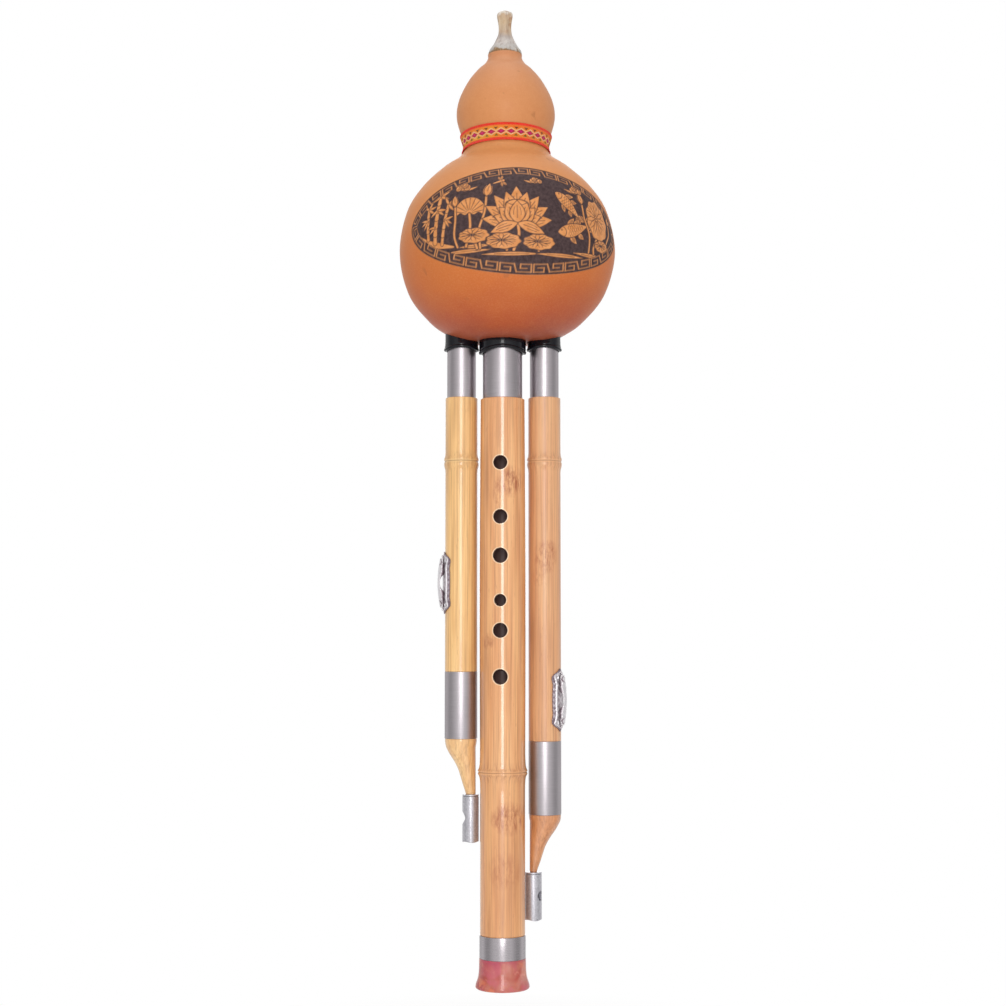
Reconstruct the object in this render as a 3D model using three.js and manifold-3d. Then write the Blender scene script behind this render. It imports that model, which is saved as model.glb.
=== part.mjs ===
// A three-pipe hulusi: gourd wind chest, melody pipe and two drone pipes with shut-off valves.
// Millimetres, +Z up. The origin is on the melody pipe's axis, in the plane of its lower end.
// The front, with the finger holes, faces -Y.
import * as THREE from "three";
import { mergeVertices } from "three/addons/utils/BufferGeometryUtils.js";
import Module from "manifold-3d";

const wasm = await Module();
wasm.setup();

// Clearances
const fitGap = 0.3;
const endGap = 0.5;
const overrun = 2;

// Facets round a turn, by the size of what is turned
const gourdSides = 40;
const pipeSides = 26;
const droneSides = 18;
const smallSides = 12;
const pinSides = 8;
const quarter = Math.PI / 2;
const fullTurn = 2 * Math.PI;

// Melody pipe
const bellHeight = 13.3;
const bellTopRadius = 10.1;
const bellNeckRadius = 10.3;
const bellFlareRadius = 11.1;
const bellRimRadius = 11.85;
const bellRimEdge = 1.2;
const bellMouthRadius = 7.8;
const bellMouthDepth = 2.5;
const bellSpigotLength = 4.5;
const bellFlareShare = 0.3;
const bellNeckShare = 0.6;
const bellEdgeShare = 1.5;
const ringHeight = 10;
const ringRadius = 10.3;
const ringWall = 1;
const bambooLength = 239;
const bambooLowRadius = 10;
const bambooMidRadius = 10.3;
const bambooTopRadius = 9.95;
const mainBoreRadius = 6.75;
const nodeRadius = 10.95;
const nodeRise = 71.6;
const nodeHalfLength = 8;
const nodeGroove = 0.35;
const nodeShares = [
  [-1, 0], [-0.5, 0.12], [-0.25, 0.42], [-0.09, 0.92], [0, 1], [0.09, 0.92], [0.25, 0.45], [0.55, 0.2], [1, 0.1],
];
const mainTubeRadius = 8.95;
const mainTubeWall = 0.7;
const mainTubeShown = 26.7;
const mainTubeRise = 33;
const tubeLap = 11;

// Finger holes, as shares of the bamboo's length up from the ring, and of the widest hole
const fingerHeightShares = [0.477, 0.563, 0.619, 0.7025, 0.775, 0.8765];
const fingerSizeShares = [1, 0.98, 0.8, 1, 0.95, 0.95];
const fingerHoleRadius = 3.25;
const fingerTurn = THREE.MathUtils.degToRad(6);
const thumbHeightShare = 0.955;
const thumbRadius = 3.1;
const tasselHeightShares = [0.12, 0.175];
const tasselRadius = 1.9;

// Drone pipes
const droneSetBack = 4.5;
const droneTubeRadius = 6.55;
const droneTubeWall = 0.6;
const droneTubeShown = 25.7;
const droneTubeRise = 26;
const droneRadius = 7.3;
const droneBoreRadius = 4.2;
const droneNodeRadius = 7.9;
const droneNodeDrop = 29;
const droneNodeHalfLength = 5;
const droneNodeShares = [[-1, 0], [-0.4, 0.45], [-0.12, 1], [0, 0.7], [0.12, 1], [0.5, 0.35], [1, 0]];
const ferruleRadius = 7.35;
const ferruleWall = 0.5;
const ferruleTenon = 21;
const spoutRadius = 7.2;
const spoutTenon = 8;
const nozzleBoreRadius = 1;

// The spout's half width down its length, as shares from its top's to its nozzle's
const spoutDropShares = [0, 0.09, 0.26, 0.41, 0.55, 0.67, 0.83, 0.95, 1];
const spoutWidthShares = [1, 0.97, 0.77, 0.53, 0.35, 0.25, 0.13, 0.03, 0];
const spoutBoreDropShares = [0, 0.26, 0.55, 0.83, 1];
const spoutBoreShares = [1, 0.7, 0.27, 0, 0];

const leftDrone = {
  name: "left",
  outward: -1,
  axisOffset: 18.7,
  footRise: 40.3,
  ferruleLength: 29.9,
  spoutLength: 24.5,
  nozzleRadius: 2.3,
  spoutReach: 6.7,
  handleHeightShare: 0.418,
  handleTurn: THREE.MathUtils.degToRad(8),
  portTurn: 0,
  bamboo: 0xe9bf78,
};
const rightDrone = {
  name: "right",
  outward: 1,
  axisOffset: 19,
  footRise: 5.9,
  ferruleLength: 32.6,
  spoutLength: 25.2,
  nozzleRadius: 1.7,
  spoutReach: 6.9,
  handleHeightShare: 0.047,
  handleTurn: THREE.MathUtils.degToRad(-23),
  portTurn: THREE.MathUtils.degToRad(-25),
  bamboo: 0xdca468,
};

// Shut-off valve
const valveRadius = 3.7;
const valveWall = 0.8;
const valveHeadHeight = 0.8;
const valveSleeveLength = 20;
const valveHoleRadius = 2.8;
const valveHoleShare = 0.468;
const valveSpigotLength = 4;
const shankBoreRadius = 1.4;
const portRadius = 1.3;
const plugHeight = 2.6;
const slotWidth = 0.8;
const slotDepth = 1;

// Reeds, as plate sizes, and the slot that frees the tongue
const mainReed = { width: 7, length: 17, plate: 0.6 };
const droneReed = { width: 5, length: 12, plate: 0.5 };
const tongueSlot = 0.35;
const tongueWidthShare = 0.5;
const tongueLengthShare = 0.78;
const reedSeatPlug = 6;
const reedMargin = 1;
const reedChannelRadius = 2.2;

// Ornamental handles
const handleLength = 28;
const handleHalfWidth = 5.2;
const plateThickness = 0.8;
const bowThickness = 0.8;
const bowHalfWidth = 2.1;
const bowRise = 1.3;
const bowFootShare = 0.17;
const bowSteps = 12;
const bowArchPower = 0.8;
const bowPinchShare = 0.45;
const rosetteRadius = 1.9;
const rosetteHeight = 1.5;
const pinRadius = 0.6;
const pinHeadRadius = 1;
const pinHeadHeight = 0.4;
const pinBite = 2;

// The plate's half width up its length, and its relief across its width
const plateHeightShares = [0, 0.05, 0.1, 0.16, 0.22, 0.27, 0.35, 0.5, 0.65, 0.73, 0.78, 0.84, 0.9, 0.95, 1];
const plateWidthShares = [0.08, 0.34, 0.78, 1, 0.9, 0.72, 0.84, 0.9, 0.84, 0.72, 0.9, 1, 0.78, 0.34, 0.08];
const plateReliefShares = [
  [-1, 0.4], [-0.8, 1.1], [-0.55, 0.75], [0, 0.7], [0.55, 0.75], [0.8, 1.1], [1, 0.4],
];

// Gourd: its sections, each by its rise from the one below, and how far its middle leans to +X
const gourdWall = 3;
const gourdFloor = { rise: 0, radius: 17 };
const lowerBulb = { rise: 39.5, radius: 49 };
const gourdWaist = { rise: 49, radius: 19 };
const upperBulb = { rise: 14.5, radius: 22.5 };
const gourdNeck = { rise: 28.6, radius: 7.65 };
const gourdCrown = { rise: 1, radius: 7.85 };
const gourdLean = 2.2;

// The outline from each section to the next, as shares of the rise and of the change of radius
const floorToBulbShares = [[0, 0], [0.03, 0.156], [0.099, 0.344], [0.24, 0.575], [0.544, 0.863]];
const bulbToWaistShares = [[0, 0], [0.367, 0.103], [0.602, 0.333], [0.786, 0.643], [0.898, 0.9]];
const waistToBulbShares = [[0, 0], [0.379, 0.343]];
const bulbToNeckShares = [
  [0, 0], [0.28, 0.074], [0.577, 0.357], [0.775, 0.66], [0.859, 0.845], [0.943, 0.963],
];
const neckToCrownShares = [[0, 0], [1, 1]];

// The lean of the floor, bulb, waist, upper bulb, neck and crown, as shares of the most
const leanShares = [0.68, 1, 0.73, 0.68, 0.5, 0.5];
const gourdSteps = 24;
const cavitySteps = 11;
const cavityStartShare = 0.05;
const cavityEndShare = 0.87;

// Stem, with its outline as shares of its length and of its foot's radius
const stemLength = 19.6;
const stemFootRadius = 7.75;
const stemOutlineShares = [
  [0, 1], [0.05, 0.98], [0.11, 0.92], [0.17, 0.8], [0.23, 0.69], [0.29, 0.6], [0.345, 0.535], [0.46, 0.435],
  [0.55, 0.405], [0.63, 0.395], [0.73, 0.415], [0.82, 0.455], [0.93, 0.5], [0.97, 0.47], [1, 0.36],
];
const stemSteps = 16;
const stemBoreRadius = 1.7;
const stemSpigotRadius = 4.2;
const stemSpigotLength = 8;

// Waist ribbon
const ribbonWidth = 7.8;
const ribbonRise = 2.3;
const ribbonThickness = 0.5;
const ribbonSteps = 2;

// Sockets under the gourd
const sideSleeve = { lip: 8.1, neck: 7.5, drop: 4.3, rise: 10, sides: droneSides };
const centreSleeve = { lip: 10.8, neck: 9.95, drop: 6.4, rise: 11, sides: pipeSides };
const lipEdge = 0.8;
const lipFlare = 2.6;

// Finishes
const gourdSkin = { color: 0xcf7f49, roughness: 0.3, metalness: 0 };
const driedStem = { color: 0x8d8478, roughness: 0.85, metalness: 0 };
const wovenRibbon = { color: 0xb03a3f, roughness: 0.9, metalness: 0 };
const blackResin = { color: 0x0d0d10, roughness: 0.18, metalness: 0 };
const bamboo = { color: 0xdba266, roughness: 0.35, metalness: 0 };
const brushedMetal = { color: 0xb9b5b3, roughness: 0.28, metalness: 1 };
const redStone = { color: 0xc04a4a, roughness: 0.12, metalness: 0 };
const castSilver = { color: 0xc9c6c4, roughness: 0.35, metalness: 1 };
const seatWood = { color: 0x8a5a34, roughness: 0.7, metalness: 0 };
const reedBrass = { color: 0xc9a04a, roughness: 0.35, metalness: 1 };
const valveMetal = { color: 0xb4b6b8, roughness: 0.4, metalness: 1 };

// A geometry as one closed solid, its faces turned to point outwards
function solid(geometry) {
  geometry.deleteAttribute("normal");
  geometry.deleteAttribute("uv");
  const merged = mergeVertices(geometry);
  const made = manifoldOf(merged, false);
  return made.volume() < 0 ? manifoldOf(merged, true) : made;
}

function manifoldOf(geometry, turned) {
  const triVerts = new Uint32Array(geometry.index.array);
  if (turned) triVerts.reverse();
  const vertProperties = new Float32Array(geometry.attributes.position.array);
  return new wasm.Manifold(new wasm.Mesh({ numProp: 3, vertProperties, triVerts }));
}

function cut(body, tools) {
  return tools.reduce((left, tool) => left.subtract(tool), body);
}

function join(bodies) {
  return bodies.reduce((whole, next) => whole.add(next));
}

// A named mesh of a solid
function piece(name, body, finish) {
  const made = body.getMesh();
  const geometry = new THREE.BufferGeometry();
  const positions = new THREE.BufferAttribute(new Float32Array(made.vertProperties), 3);
  geometry.setAttribute("position", positions);
  geometry.setIndex(new THREE.BufferAttribute(new Uint32Array(made.triVerts), 1));
  geometry.computeVertexNormals();
  const mesh = new THREE.Mesh(geometry, new THREE.MeshStandardMaterial(finish));
  mesh.name = name;
  return mesh;
}

// A closed radius and height outline turned about Z
function turned(outline, sides) {
  const points = outline.map(([radius, height]) => new THREE.Vector2(radius, height));
  points.push(points[0].clone());
  return solid(new THREE.LatheGeometry(points, sides).rotateX(quarter));
}

function pipe(outer, inner, low, high, sides) {
  return turned([[inner, low], [outer, low], [outer, high], [inner, high]], sides);
}

function rod(radius, low, high, sides) {
  const geometry = new THREE.CylinderGeometry(radius, radius, high - low, sides);
  geometry.rotateX(quarter);
  geometry.translate(0, 0, (low + high) / 2);
  return solid(geometry);
}

// A rod that lies along a direction in the XY plane, from one reach to another
function crossRod(radius, from, to, turn, height, sides) {
  const geometry = new THREE.CylinderGeometry(radius, radius, to - from, sides);
  geometry.rotateZ(quarter);
  geometry.translate((from + to) / 2, 0, 0);
  geometry.rotateZ(turn);
  geometry.translate(0, 0, height);
  return solid(geometry);
}

function block(width, depth, height, x, y, z) {
  return solid(new THREE.BoxGeometry(width, depth, height).translate(x, y, z));
}

// A skin over rings of points: the last ring joins the first when looped, else both ends are capped
function skin(rings, looped) {
  const count = rings[0].length;
  const points = rings.flat();
  const index = [];
  const spans = looped ? rings.length : rings.length - 1;
  for (let i = 0; i < spans; i++) {
    const here = i * count;
    const next = ((i + 1) % rings.length) * count;
    for (let j = 0; j < count; j++) {
      const k = (j + 1) % count;
      index.push(here + j, here + k, next + k);
      index.push(here + j, next + k, next + j);
    }
  }
  if (!looped) {
    for (const first of [0, (rings.length - 1) * count]) {
      const ring = points.slice(first, first + count);
      const middle = ring.reduce((sum, p) => sum.clone().add(p)).divideScalar(count);
      points.push(middle);
      for (let j = 0; j < count; j++) {
        const a = first + j;
        const b = first + ((j + 1) % count);
        index.push(points.length - 1, first === 0 ? b : a, first === 0 ? a : b);
      }
    }
  }
  const geometry = new THREE.BufferGeometry().setFromPoints(points);
  geometry.setIndex(index);
  return solid(geometry);
}

function circle(radius, x, y, z, sides) {
  return Array.from({ length: sides }, (_, i) => {
    const turn = (i / sides) * fullTurn;
    return new THREE.Vector3(x + radius * Math.cos(turn), y + radius * Math.sin(turn), z);
  });
}

function smooth(pairs, steps) {
  return new THREE.SplineCurve(pairs.map(([a, b]) => new THREE.Vector2(a, b))).getPoints(steps);
}

// Gourd

const bambooFoot = bellHeight + ringHeight;
const bambooShoulder = bambooFoot + bambooLength;
const gourdBottom = bambooShoulder + mainTubeShown;
const gourdSections = [gourdFloor, lowerBulb, gourdWaist, upperBulb, gourdNeck, gourdCrown];
const sectionHeights = gourdSections.map((_, i) => {
  return gourdSections.slice(0, i + 1).reduce((sum, section) => sum + section.rise, gourdBottom);
});
const gourdTop = sectionHeights[gourdSections.indexOf(gourdCrown)];
const gourdOutline = gourdCurve();

function gourdCurve() {
  const spans = [
    floorToBulbShares,
    bulbToWaistShares,
    waistToBulbShares,
    bulbToNeckShares,
    neckToCrownShares,
  ];
  const points = spans.flatMap((span, i) => {
    const [from, to] = [gourdSections[i], gourdSections[i + 1]];
    return span.map(([rise, change]) => {
      const radius = THREE.MathUtils.lerp(from.radius, to.radius, change);
      const height = THREE.MathUtils.lerp(sectionHeights[i], sectionHeights[i + 1], rise);
      return new THREE.Vector2(radius, height);
    });
  });
  return new THREE.SplineCurve(points);
}

function leanAt(height) {
  const inside = THREE.MathUtils.clamp(height, gourdBottom, gourdTop);
  const upper = Math.max(sectionHeights.findIndex((section) => section >= inside), 1);
  const [below, above] = [sectionHeights[upper - 1], sectionHeights[upper]];
  const share = (inside - below) / (above - below);
  return gourdLean * THREE.MathUtils.lerp(leanShares[upper - 1], leanShares[upper], share);
}

// The gourd's radius at a height, from its smooth outline
function gourdRadiusAt(height) {
  const points = gourdOutline.getPoints(gourdSteps * gourdSteps);
  const above = Math.max(points.findIndex((p) => p.y >= height), 1);
  const share = (height - points[above - 1].y) / (points[above].y - points[above - 1].y);
  return THREE.MathUtils.lerp(points[above - 1].x, points[above].x, share);
}

// Each vertex moved to +X by the gourd's lean at its height
function leaned(geometry) {
  const places = geometry.attributes.position;
  for (let i = 0; i < places.count; i++) {
    places.setX(i, places.getX(i) + leanAt(places.getZ(i)));
  }
  return geometry;
}

function leaningTurned(points) {
  return solid(leaned(new THREE.LatheGeometry(points, gourdSides).rotateX(quarter)));
}

// The gourd's base bowl and the shell over it, which meet at its widest
function gourdPieces(sleeves) {
  const outside = gourdOutline.getPoints(gourdSteps);
  const body = leaningTurned([
    new THREE.Vector2(0, gourdBottom),
    ...outside,
    new THREE.Vector2(0, gourdTop),
  ]);
  const inside = [];
  for (let i = 0; i <= cavitySteps; i++) {
    const share = THREE.MathUtils.lerp(cavityStartShare, cavityEndShare, i / cavitySteps);
    const point = gourdOutline.getPoint(share);
    const along = gourdOutline.getTangent(share);
    inside.push(new THREE.Vector2(point.x - gourdWall * along.y, point.y + gourdWall * along.x));
  }
  const cavity = leaningTurned([
    new THREE.Vector2(0, inside[0].y),
    ...inside,
    new THREE.Vector2(0, inside[cavitySteps].y),
  ]);
  const neck = rod(
    stemSpigotRadius + fitGap,
    inside[cavitySteps].y - overrun,
    gourdTop + overrun,
    smallSides,
  ).translate([leanAt(gourdTop), 0, 0]);
  const sockets = sleeves.map((sleeve) =>
    rod(
      sleeve.shape.neck + fitGap,
      gourdBottom - overrun,
      gourdBottom + sleeve.shape.rise,
      sleeve.shape.sides,
    ).translate([sleeve.x, sleeve.y, 0]),
  );
  const widest = sectionHeights[gourdSections.indexOf(lowerBulb)];
  const hollowed = cut(body, [cavity, neck, ...sockets]);
  const [shell, base] = hollowed.splitByPlane([0, 0, 1], widest);
  return [piece("gourd_shell", shell, gourdSkin), piece("gourd_base", base, gourdSkin)];
}

function blowStem() {
  const outline = stemOutlineShares.map(([rise, width]) => {
    return [stemFootRadius * width, gourdTop + stemLength * rise];
  });
  const outside = smooth(outline, stemSteps);
  const top = outside[stemSteps].y;
  const body = turned(
    [
      [stemBoreRadius, gourdTop - stemSpigotLength],
      [stemSpigotRadius, gourdTop - stemSpigotLength],
      [stemSpigotRadius, gourdTop],
      ...outside.map((p) => [p.x, p.y]),
      [stemBoreRadius, top],
    ],
    smallSides,
  );
  return piece("blow_stem", body.translate([leanAt(gourdTop), 0, 0]), driedStem);
}

function waistRibbon() {
  const middle = sectionHeights[gourdSections.indexOf(gourdWaist)] + ribbonRise;
  const heights = Array.from({ length: ribbonSteps + 1 }, (_, i) => {
    return middle + ribbonWidth * (i / ribbonSteps - 0.5);
  });
  const inner = heights.map((z) => new THREE.Vector2(gourdRadiusAt(z) + fitGap, z));
  const outer = inner.map((p) => new THREE.Vector2(p.x + ribbonThickness, p.y)).reverse();
  return piece("waist_ribbon", leaningTurned([...inner, ...outer, inner[0].clone()]), wovenRibbon);
}

function socketSleeve(name, sleeve) {
  const { lip, neck, sides } = sleeve.shape;
  const low = gourdBottom - sleeve.shape.drop;
  const high = gourdBottom + sleeve.shape.rise;
  const bore = sleeve.tubeRadius + fitGap;
  const foot = low + lipEdge;
  const waist = (lip + 2 * neck) / 3;
  const flare = smooth([[lip, foot], [waist, foot + lipFlare / 3], [neck, foot + lipFlare]], 4);
  const outline = [[bore, low], [lip, low], ...flare.map((p) => [p.x, p.y]), [neck, high], [bore, high]];
  const body = turned(outline, sides).translate([sleeve.x, sleeve.y, 0]);
  return piece(name, body, blackResin);
}

// Melody pipe

const mainTubeTop = gourdBottom + mainTubeRise;
const ringBore = ringRadius - ringWall;

function bambooOutline() {
  const bulge = nodeRadius - bambooLowRadius;
  const nodeHeight = bambooFoot + nodeRise;
  const node = nodeShares.map(([along, swell]) => [
    bambooLowRadius + bulge * swell - (along === 0 ? nodeGroove : 0),
    nodeHeight + along * nodeHalfLength,
  ]);
  const upper = smooth(
    [
      node[node.length - 1],
      [bambooMidRadius, (nodeHeight + bambooShoulder) / 2],
      [bambooTopRadius, bambooShoulder],
    ],
    6,
  );
  return [...node, ...upper.slice(1).map((p) => [p.x, p.y])];
}

function mainBamboo() {
  const tenon = mainTubeRadius - mainTubeWall - fitGap;
  const body = turned(
    [
      [mainBoreRadius, bambooFoot - (ringHeight - bellSpigotLength) + fitGap],
      [ringBore - fitGap, bambooFoot - (ringHeight - bellSpigotLength) + fitGap],
      [ringBore - fitGap, bambooFoot],
      [bambooLowRadius, bambooFoot],
      ...bambooOutline(),
      [tenon, bambooShoulder],
      [tenon, bambooShoulder + tubeLap],
      [mainBoreRadius, bambooShoulder + tubeLap],
    ],
    pipeSides,
  );
  const reach = nodeRadius + overrun;
  const front = -quarter - fingerTurn;
  const heightOf = (share) => bambooFoot + bambooLength * share;
  const fingers = fingerHeightShares.map((share, i) =>
    crossRod(fingerHoleRadius * fingerSizeShares[i], 0, reach, front, heightOf(share), smallSides),
  );
  const thumb = crossRod(thumbRadius, 0, reach, quarter, heightOf(thumbHeightShare), smallSides);
  const tassels = tasselHeightShares.map((share) =>
    crossRod(tasselRadius, 0, reach, quarter, heightOf(share), smallSides),
  );
  return piece("main_bamboo", cut(body, [...fingers, thumb, ...tassels]), bamboo);
}

function mainTube() {
  const inner = mainTubeRadius - mainTubeWall;
  const body = pipe(mainTubeRadius, inner, bambooShoulder, mainTubeTop, pipeSides);
  return piece("main_tube", body, brushedMetal);
}

function tailRing() {
  const body = pipe(ringRadius, ringBore, bellHeight, bambooFoot, pipeSides);
  return piece("tail_ring", body, brushedMetal);
}

function tailBell() {
  const corner = Array.from({ length: 4 }, (_, i) => {
    const turn = (i / 3) * quarter;
    return [
      bellRimRadius - bellRimEdge * (1 - Math.sin(turn)),
      bellRimEdge * (1 - Math.cos(turn)),
    ];
  });
  const flare = smooth(
    [
      [bellRimRadius, bellEdgeShare * bellRimEdge],
      [bellFlareRadius, bellFlareShare * bellHeight],
      [bellNeckRadius, bellNeckShare * bellHeight],
      [bellTopRadius, bellHeight],
    ],
    6,
  ).map((p) => [p.x, p.y]);
  const body = turned(
    [
      [bellMouthRadius, 0],
      ...corner,
      ...flare,
      [ringBore - fitGap, bellHeight],
      [ringBore - fitGap, bellHeight + bellSpigotLength],
      [mainBoreRadius, bellHeight + bellSpigotLength],
      [mainBoreRadius, bellMouthDepth],
    ],
    pipeSides,
  );
  return piece("tail_bell", body, redStone);
}

// A stopper that closes a tube's top, its flat front holding the reed over a channel to the bore
function reedSeat(name, tubeInner, tubeTop, reed, sides) {
  const radius = tubeInner - fitGap;
  const height = reed.length + 2 * reedMargin;
  const flat = -(radius - 2 * reedMargin);
  const body = rod(radius, tubeTop - reedSeatPlug, tubeTop + height, sides);
  const tall = height + overrun;
  const front = block(2 * radius + overrun, radius, tall, 0, flat - radius / 2, tubeTop + tall / 2);
  const channel = rod(
    reedChannelRadius,
    tubeTop - reedSeatPlug - overrun,
    tubeTop + reed.length,
    smallSides,
  );
  const windowWidth = reed.width * tongueWidthShare + 2 * tongueSlot;
  const windowHeight = reed.length * tongueLengthShare;
  const window = block(windowWidth, -flat, windowHeight, 0, flat / 2 - reedMargin, tubeTop + height / 2);
  return piece(name, cut(body, [front, channel, window]), seatWood);
}

// A reed plate with its tongue freed on three sides
function reedPlate(name, tubeInner, tubeTop, reed) {
  const face = -(tubeInner - fitGap - 2 * reedMargin) - fitGap - reed.plate / 2;
  const middle = tubeTop + reedMargin + reed.length / 2;
  const plate = block(reed.width, reed.plate, reed.length, 0, face, middle);
  const tongueWidth = reed.width * tongueWidthShare;
  const tongueLength = reed.length * tongueLengthShare;
  const deep = reed.plate + overrun;
  const side = (tongueWidth + tongueSlot) / 2;
  const slots = [-side, side].map((x) => block(tongueSlot, deep, tongueLength, x, face, middle));
  const end = block(
    tongueWidth + 2 * tongueSlot,
    deep,
    tongueSlot,
    0,
    face,
    middle - (tongueLength - tongueSlot) / 2,
  );
  return piece(name, cut(plate, [...slots, end]), reedBrass);
}

// Drone pipes, modelled about their own axis with the melody pipe towards -X

const droneTop = gourdBottom - droneTubeShown;
const droneTubeTop = gourdBottom + droneTubeRise;
const droneNodeHeight = droneTop - droneNodeDrop;

// Heights up a drone: the valve's foot and top, the spout's foot and the ferrule's ends
function droneHeights(drone) {
  const valveFoot = bambooFoot + drone.footRise;
  const valveTop = valveFoot + valveSleeveLength + fitGap + valveHeadHeight;
  const spoutFoot = valveTop + fitGap;
  const ferruleFoot = spoutFoot + drone.spoutLength;
  const ferruleTop = ferruleFoot + drone.ferruleLength;
  return { valveFoot, valveTop, spoutFoot, ferruleFoot, ferruleTop };
}

function droneBamboo(drone) {
  const { ferruleTop } = droneHeights(drone);
  const tubeTenon = droneTubeRadius - droneTubeWall - fitGap;
  const ferruleTenonRadius = ferruleRadius - ferruleWall - fitGap;
  const bulge = droneNodeRadius - droneRadius;
  const node = droneNodeShares.map(([along, swell]) => [
    droneRadius + bulge * swell,
    droneNodeHeight + along * droneNodeHalfLength,
  ]);
  const body = turned(
    [
      [droneBoreRadius, ferruleTop - ferruleTenon],
      [ferruleTenonRadius, ferruleTop - ferruleTenon],
      [ferruleTenonRadius, ferruleTop],
      [droneRadius, ferruleTop],
      ...node,
      [droneRadius, droneTop],
      [tubeTenon, droneTop],
      [tubeTenon, droneTop + tubeLap],
      [droneBoreRadius, droneTop + tubeLap],
    ],
    droneSides,
  );
  const pinDepth = droneRadius - pinBite - fitGap;
  const pins = pinHeights(drone).map((height) =>
    crossRod(pinRadius + fitGap, pinDepth, droneRadius + overrun, drone.handleTurn, height, pinSides),
  );
  return piece(drone.name + "_bamboo", cut(body, pins), { ...bamboo, color: drone.bamboo });
}

function droneTube(drone) {
  const inner = droneTubeRadius - droneTubeWall;
  const body = pipe(droneTubeRadius, inner, droneTop, droneTubeTop, droneSides);
  return piece(drone.name + "_tube", body, brushedMetal);
}

function droneFerrule(drone) {
  const { ferruleFoot, ferruleTop } = droneHeights(drone);
  const body = pipe(ferruleRadius, ferruleRadius - ferruleWall, ferruleFoot, ferruleTop, droneSides);
  return piece(drone.name + "_ferrule", body, brushedMetal);
}

function nozzleOffset(drone) {
  return drone.spoutReach - drone.nozzleRadius;
}

// The spout narrows to a nozzle at the side of the melody pipe, where its edge stays straight
function droneSpout(drone) {
  const top = droneHeights(drone).ferruleFoot;
  const outer = spoutDropShares.map((drop, i) => {
    const radius = THREE.MathUtils.lerp(drone.nozzleRadius, spoutRadius, spoutWidthShares[i]);
    const offset = i === 0 ? 0 : radius - drone.spoutReach;
    return circle(radius, Math.min(offset, 0), 0, top - drop * drone.spoutLength, droneSides);
  });
  const bore = spoutBoreDropShares.map((drop, i) => {
    const radius = THREE.MathUtils.lerp(nozzleBoreRadius + fitGap, droneBoreRadius, spoutBoreShares[i]);
    const offset = -nozzleOffset(drone) * (1 - spoutBoreShares[i]);
    return circle(radius, offset, 0, top - drop * drone.spoutLength, droneSides);
  });
  const tenonRadius = ferruleRadius - ferruleWall - fitGap;
  const tenon = circle(tenonRadius, 0, 0, top, droneSides);
  const tenonTop = circle(tenonRadius, 0, 0, top + spoutTenon, droneSides);
  const boreTop = circle(droneBoreRadius, 0, 0, top + spoutTenon, droneSides);
  const rings = [boreTop, tenonTop, tenon, ...outer, ...bore.reverse()];
  return piece(drone.name + "_spout", skin(rings, true), { ...bamboo, color: drone.bamboo });
}

// Handles

// A handle's middle: its place on the bamboo that is free between the ferrule and the node
function handleHeight(drone) {
  const low = droneHeights(drone).ferruleTop + handleLength / 2;
  const high = droneNodeHeight - droneNodeHalfLength - handleLength / 2;
  return THREE.MathUtils.lerp(low, high, drone.handleHeightShare);
}

function pinHeights(drone) {
  return [-1, 1].map((end) => handleHeight(drone) + end * handleLength * (0.5 - bowFootShare));
}

const plateInner = droneRadius + fitGap;
const plateOuter = plateInner + plateThickness;

// The curved plate that hugs the pipe, pointed at both ends, with a raised rim
function handlePlate(drone) {
  const rings = plateHeightShares.map((share, row) => {
    const half = handleHalfWidth * plateWidthShares[row];
    const z = handleHeight(drone) + handleLength * (share - 0.5);
    const place = (across, radius) => {
      const turn = (half * across) / plateOuter + drone.handleTurn;
      return new THREE.Vector3(radius * Math.cos(turn), radius * Math.sin(turn), z);
    };
    const front = plateReliefShares.map(([across, relief]) => {
      return place(across, plateInner + plateThickness * relief);
    });
    const back = [...plateReliefShares].reverse().map(([across]) => place(across, plateInner));
    return [...front, ...back];
  });
  const [from, to] = [plateInner - overrun, plateOuter + overrun];
  const holes = pinHeights(drone).map((height) =>
    crossRod(pinRadius + fitGap, from, to, drone.handleTurn, height, pinSides),
  );
  return piece(drone.name + "_handle_plate", cut(skin(rings, false), holes), castSilver);
}

const bowBase = plateOuter + fitGap;

// The bow: a leaf-shaped bar that springs from two rosettes and stands off the plate
function handleBow(drone) {
  const span = 1 - 2 * (bowFootShare - rosetteRadius / handleLength);
  const rings = [];
  for (let i = 0; i <= bowSteps; i++) {
    const share = i / bowSteps;
    const arch = Math.sin(Math.PI * share) ** bowArchPower;
    const z = handleHeight(drone) + handleLength * span * (share - 0.5);
    const low = bowBase + bowRise * arch + (bowThickness / 2) * (1 - arch);
    const high = bowBase + bowRise * arch + bowThickness;
    const swell = 1 - bowPinchShare * Math.abs(Math.cos(fullTurn * share));
    const half = bowHalfWidth * swell;
    rings.push([
      new THREE.Vector3(low, -half, z),
      new THREE.Vector3(high - bowThickness / 3, -half, z),
      new THREE.Vector3(high, 0, z),
      new THREE.Vector3(high - bowThickness / 3, half, z),
      new THREE.Vector3(low, half, z),
    ]);
  }
  const feet = pinHeights(drone).map((height) => {
    return crossRod(rosetteRadius, bowBase, bowBase + rosetteHeight, 0, height, smallSides);
  });
  const holes = pinHeights(drone).map((height) =>
    crossRod(pinRadius + fitGap, 0, bowBase + bowRise + overrun, 0, height, pinSides),
  );
  const body = cut(join([skin(rings, false), ...feet]), holes);
  const degrees = THREE.MathUtils.radToDeg(drone.handleTurn);
  return piece(drone.name + "_handle_bow", body.rotate([0, 0, degrees]), castSilver);
}

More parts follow.
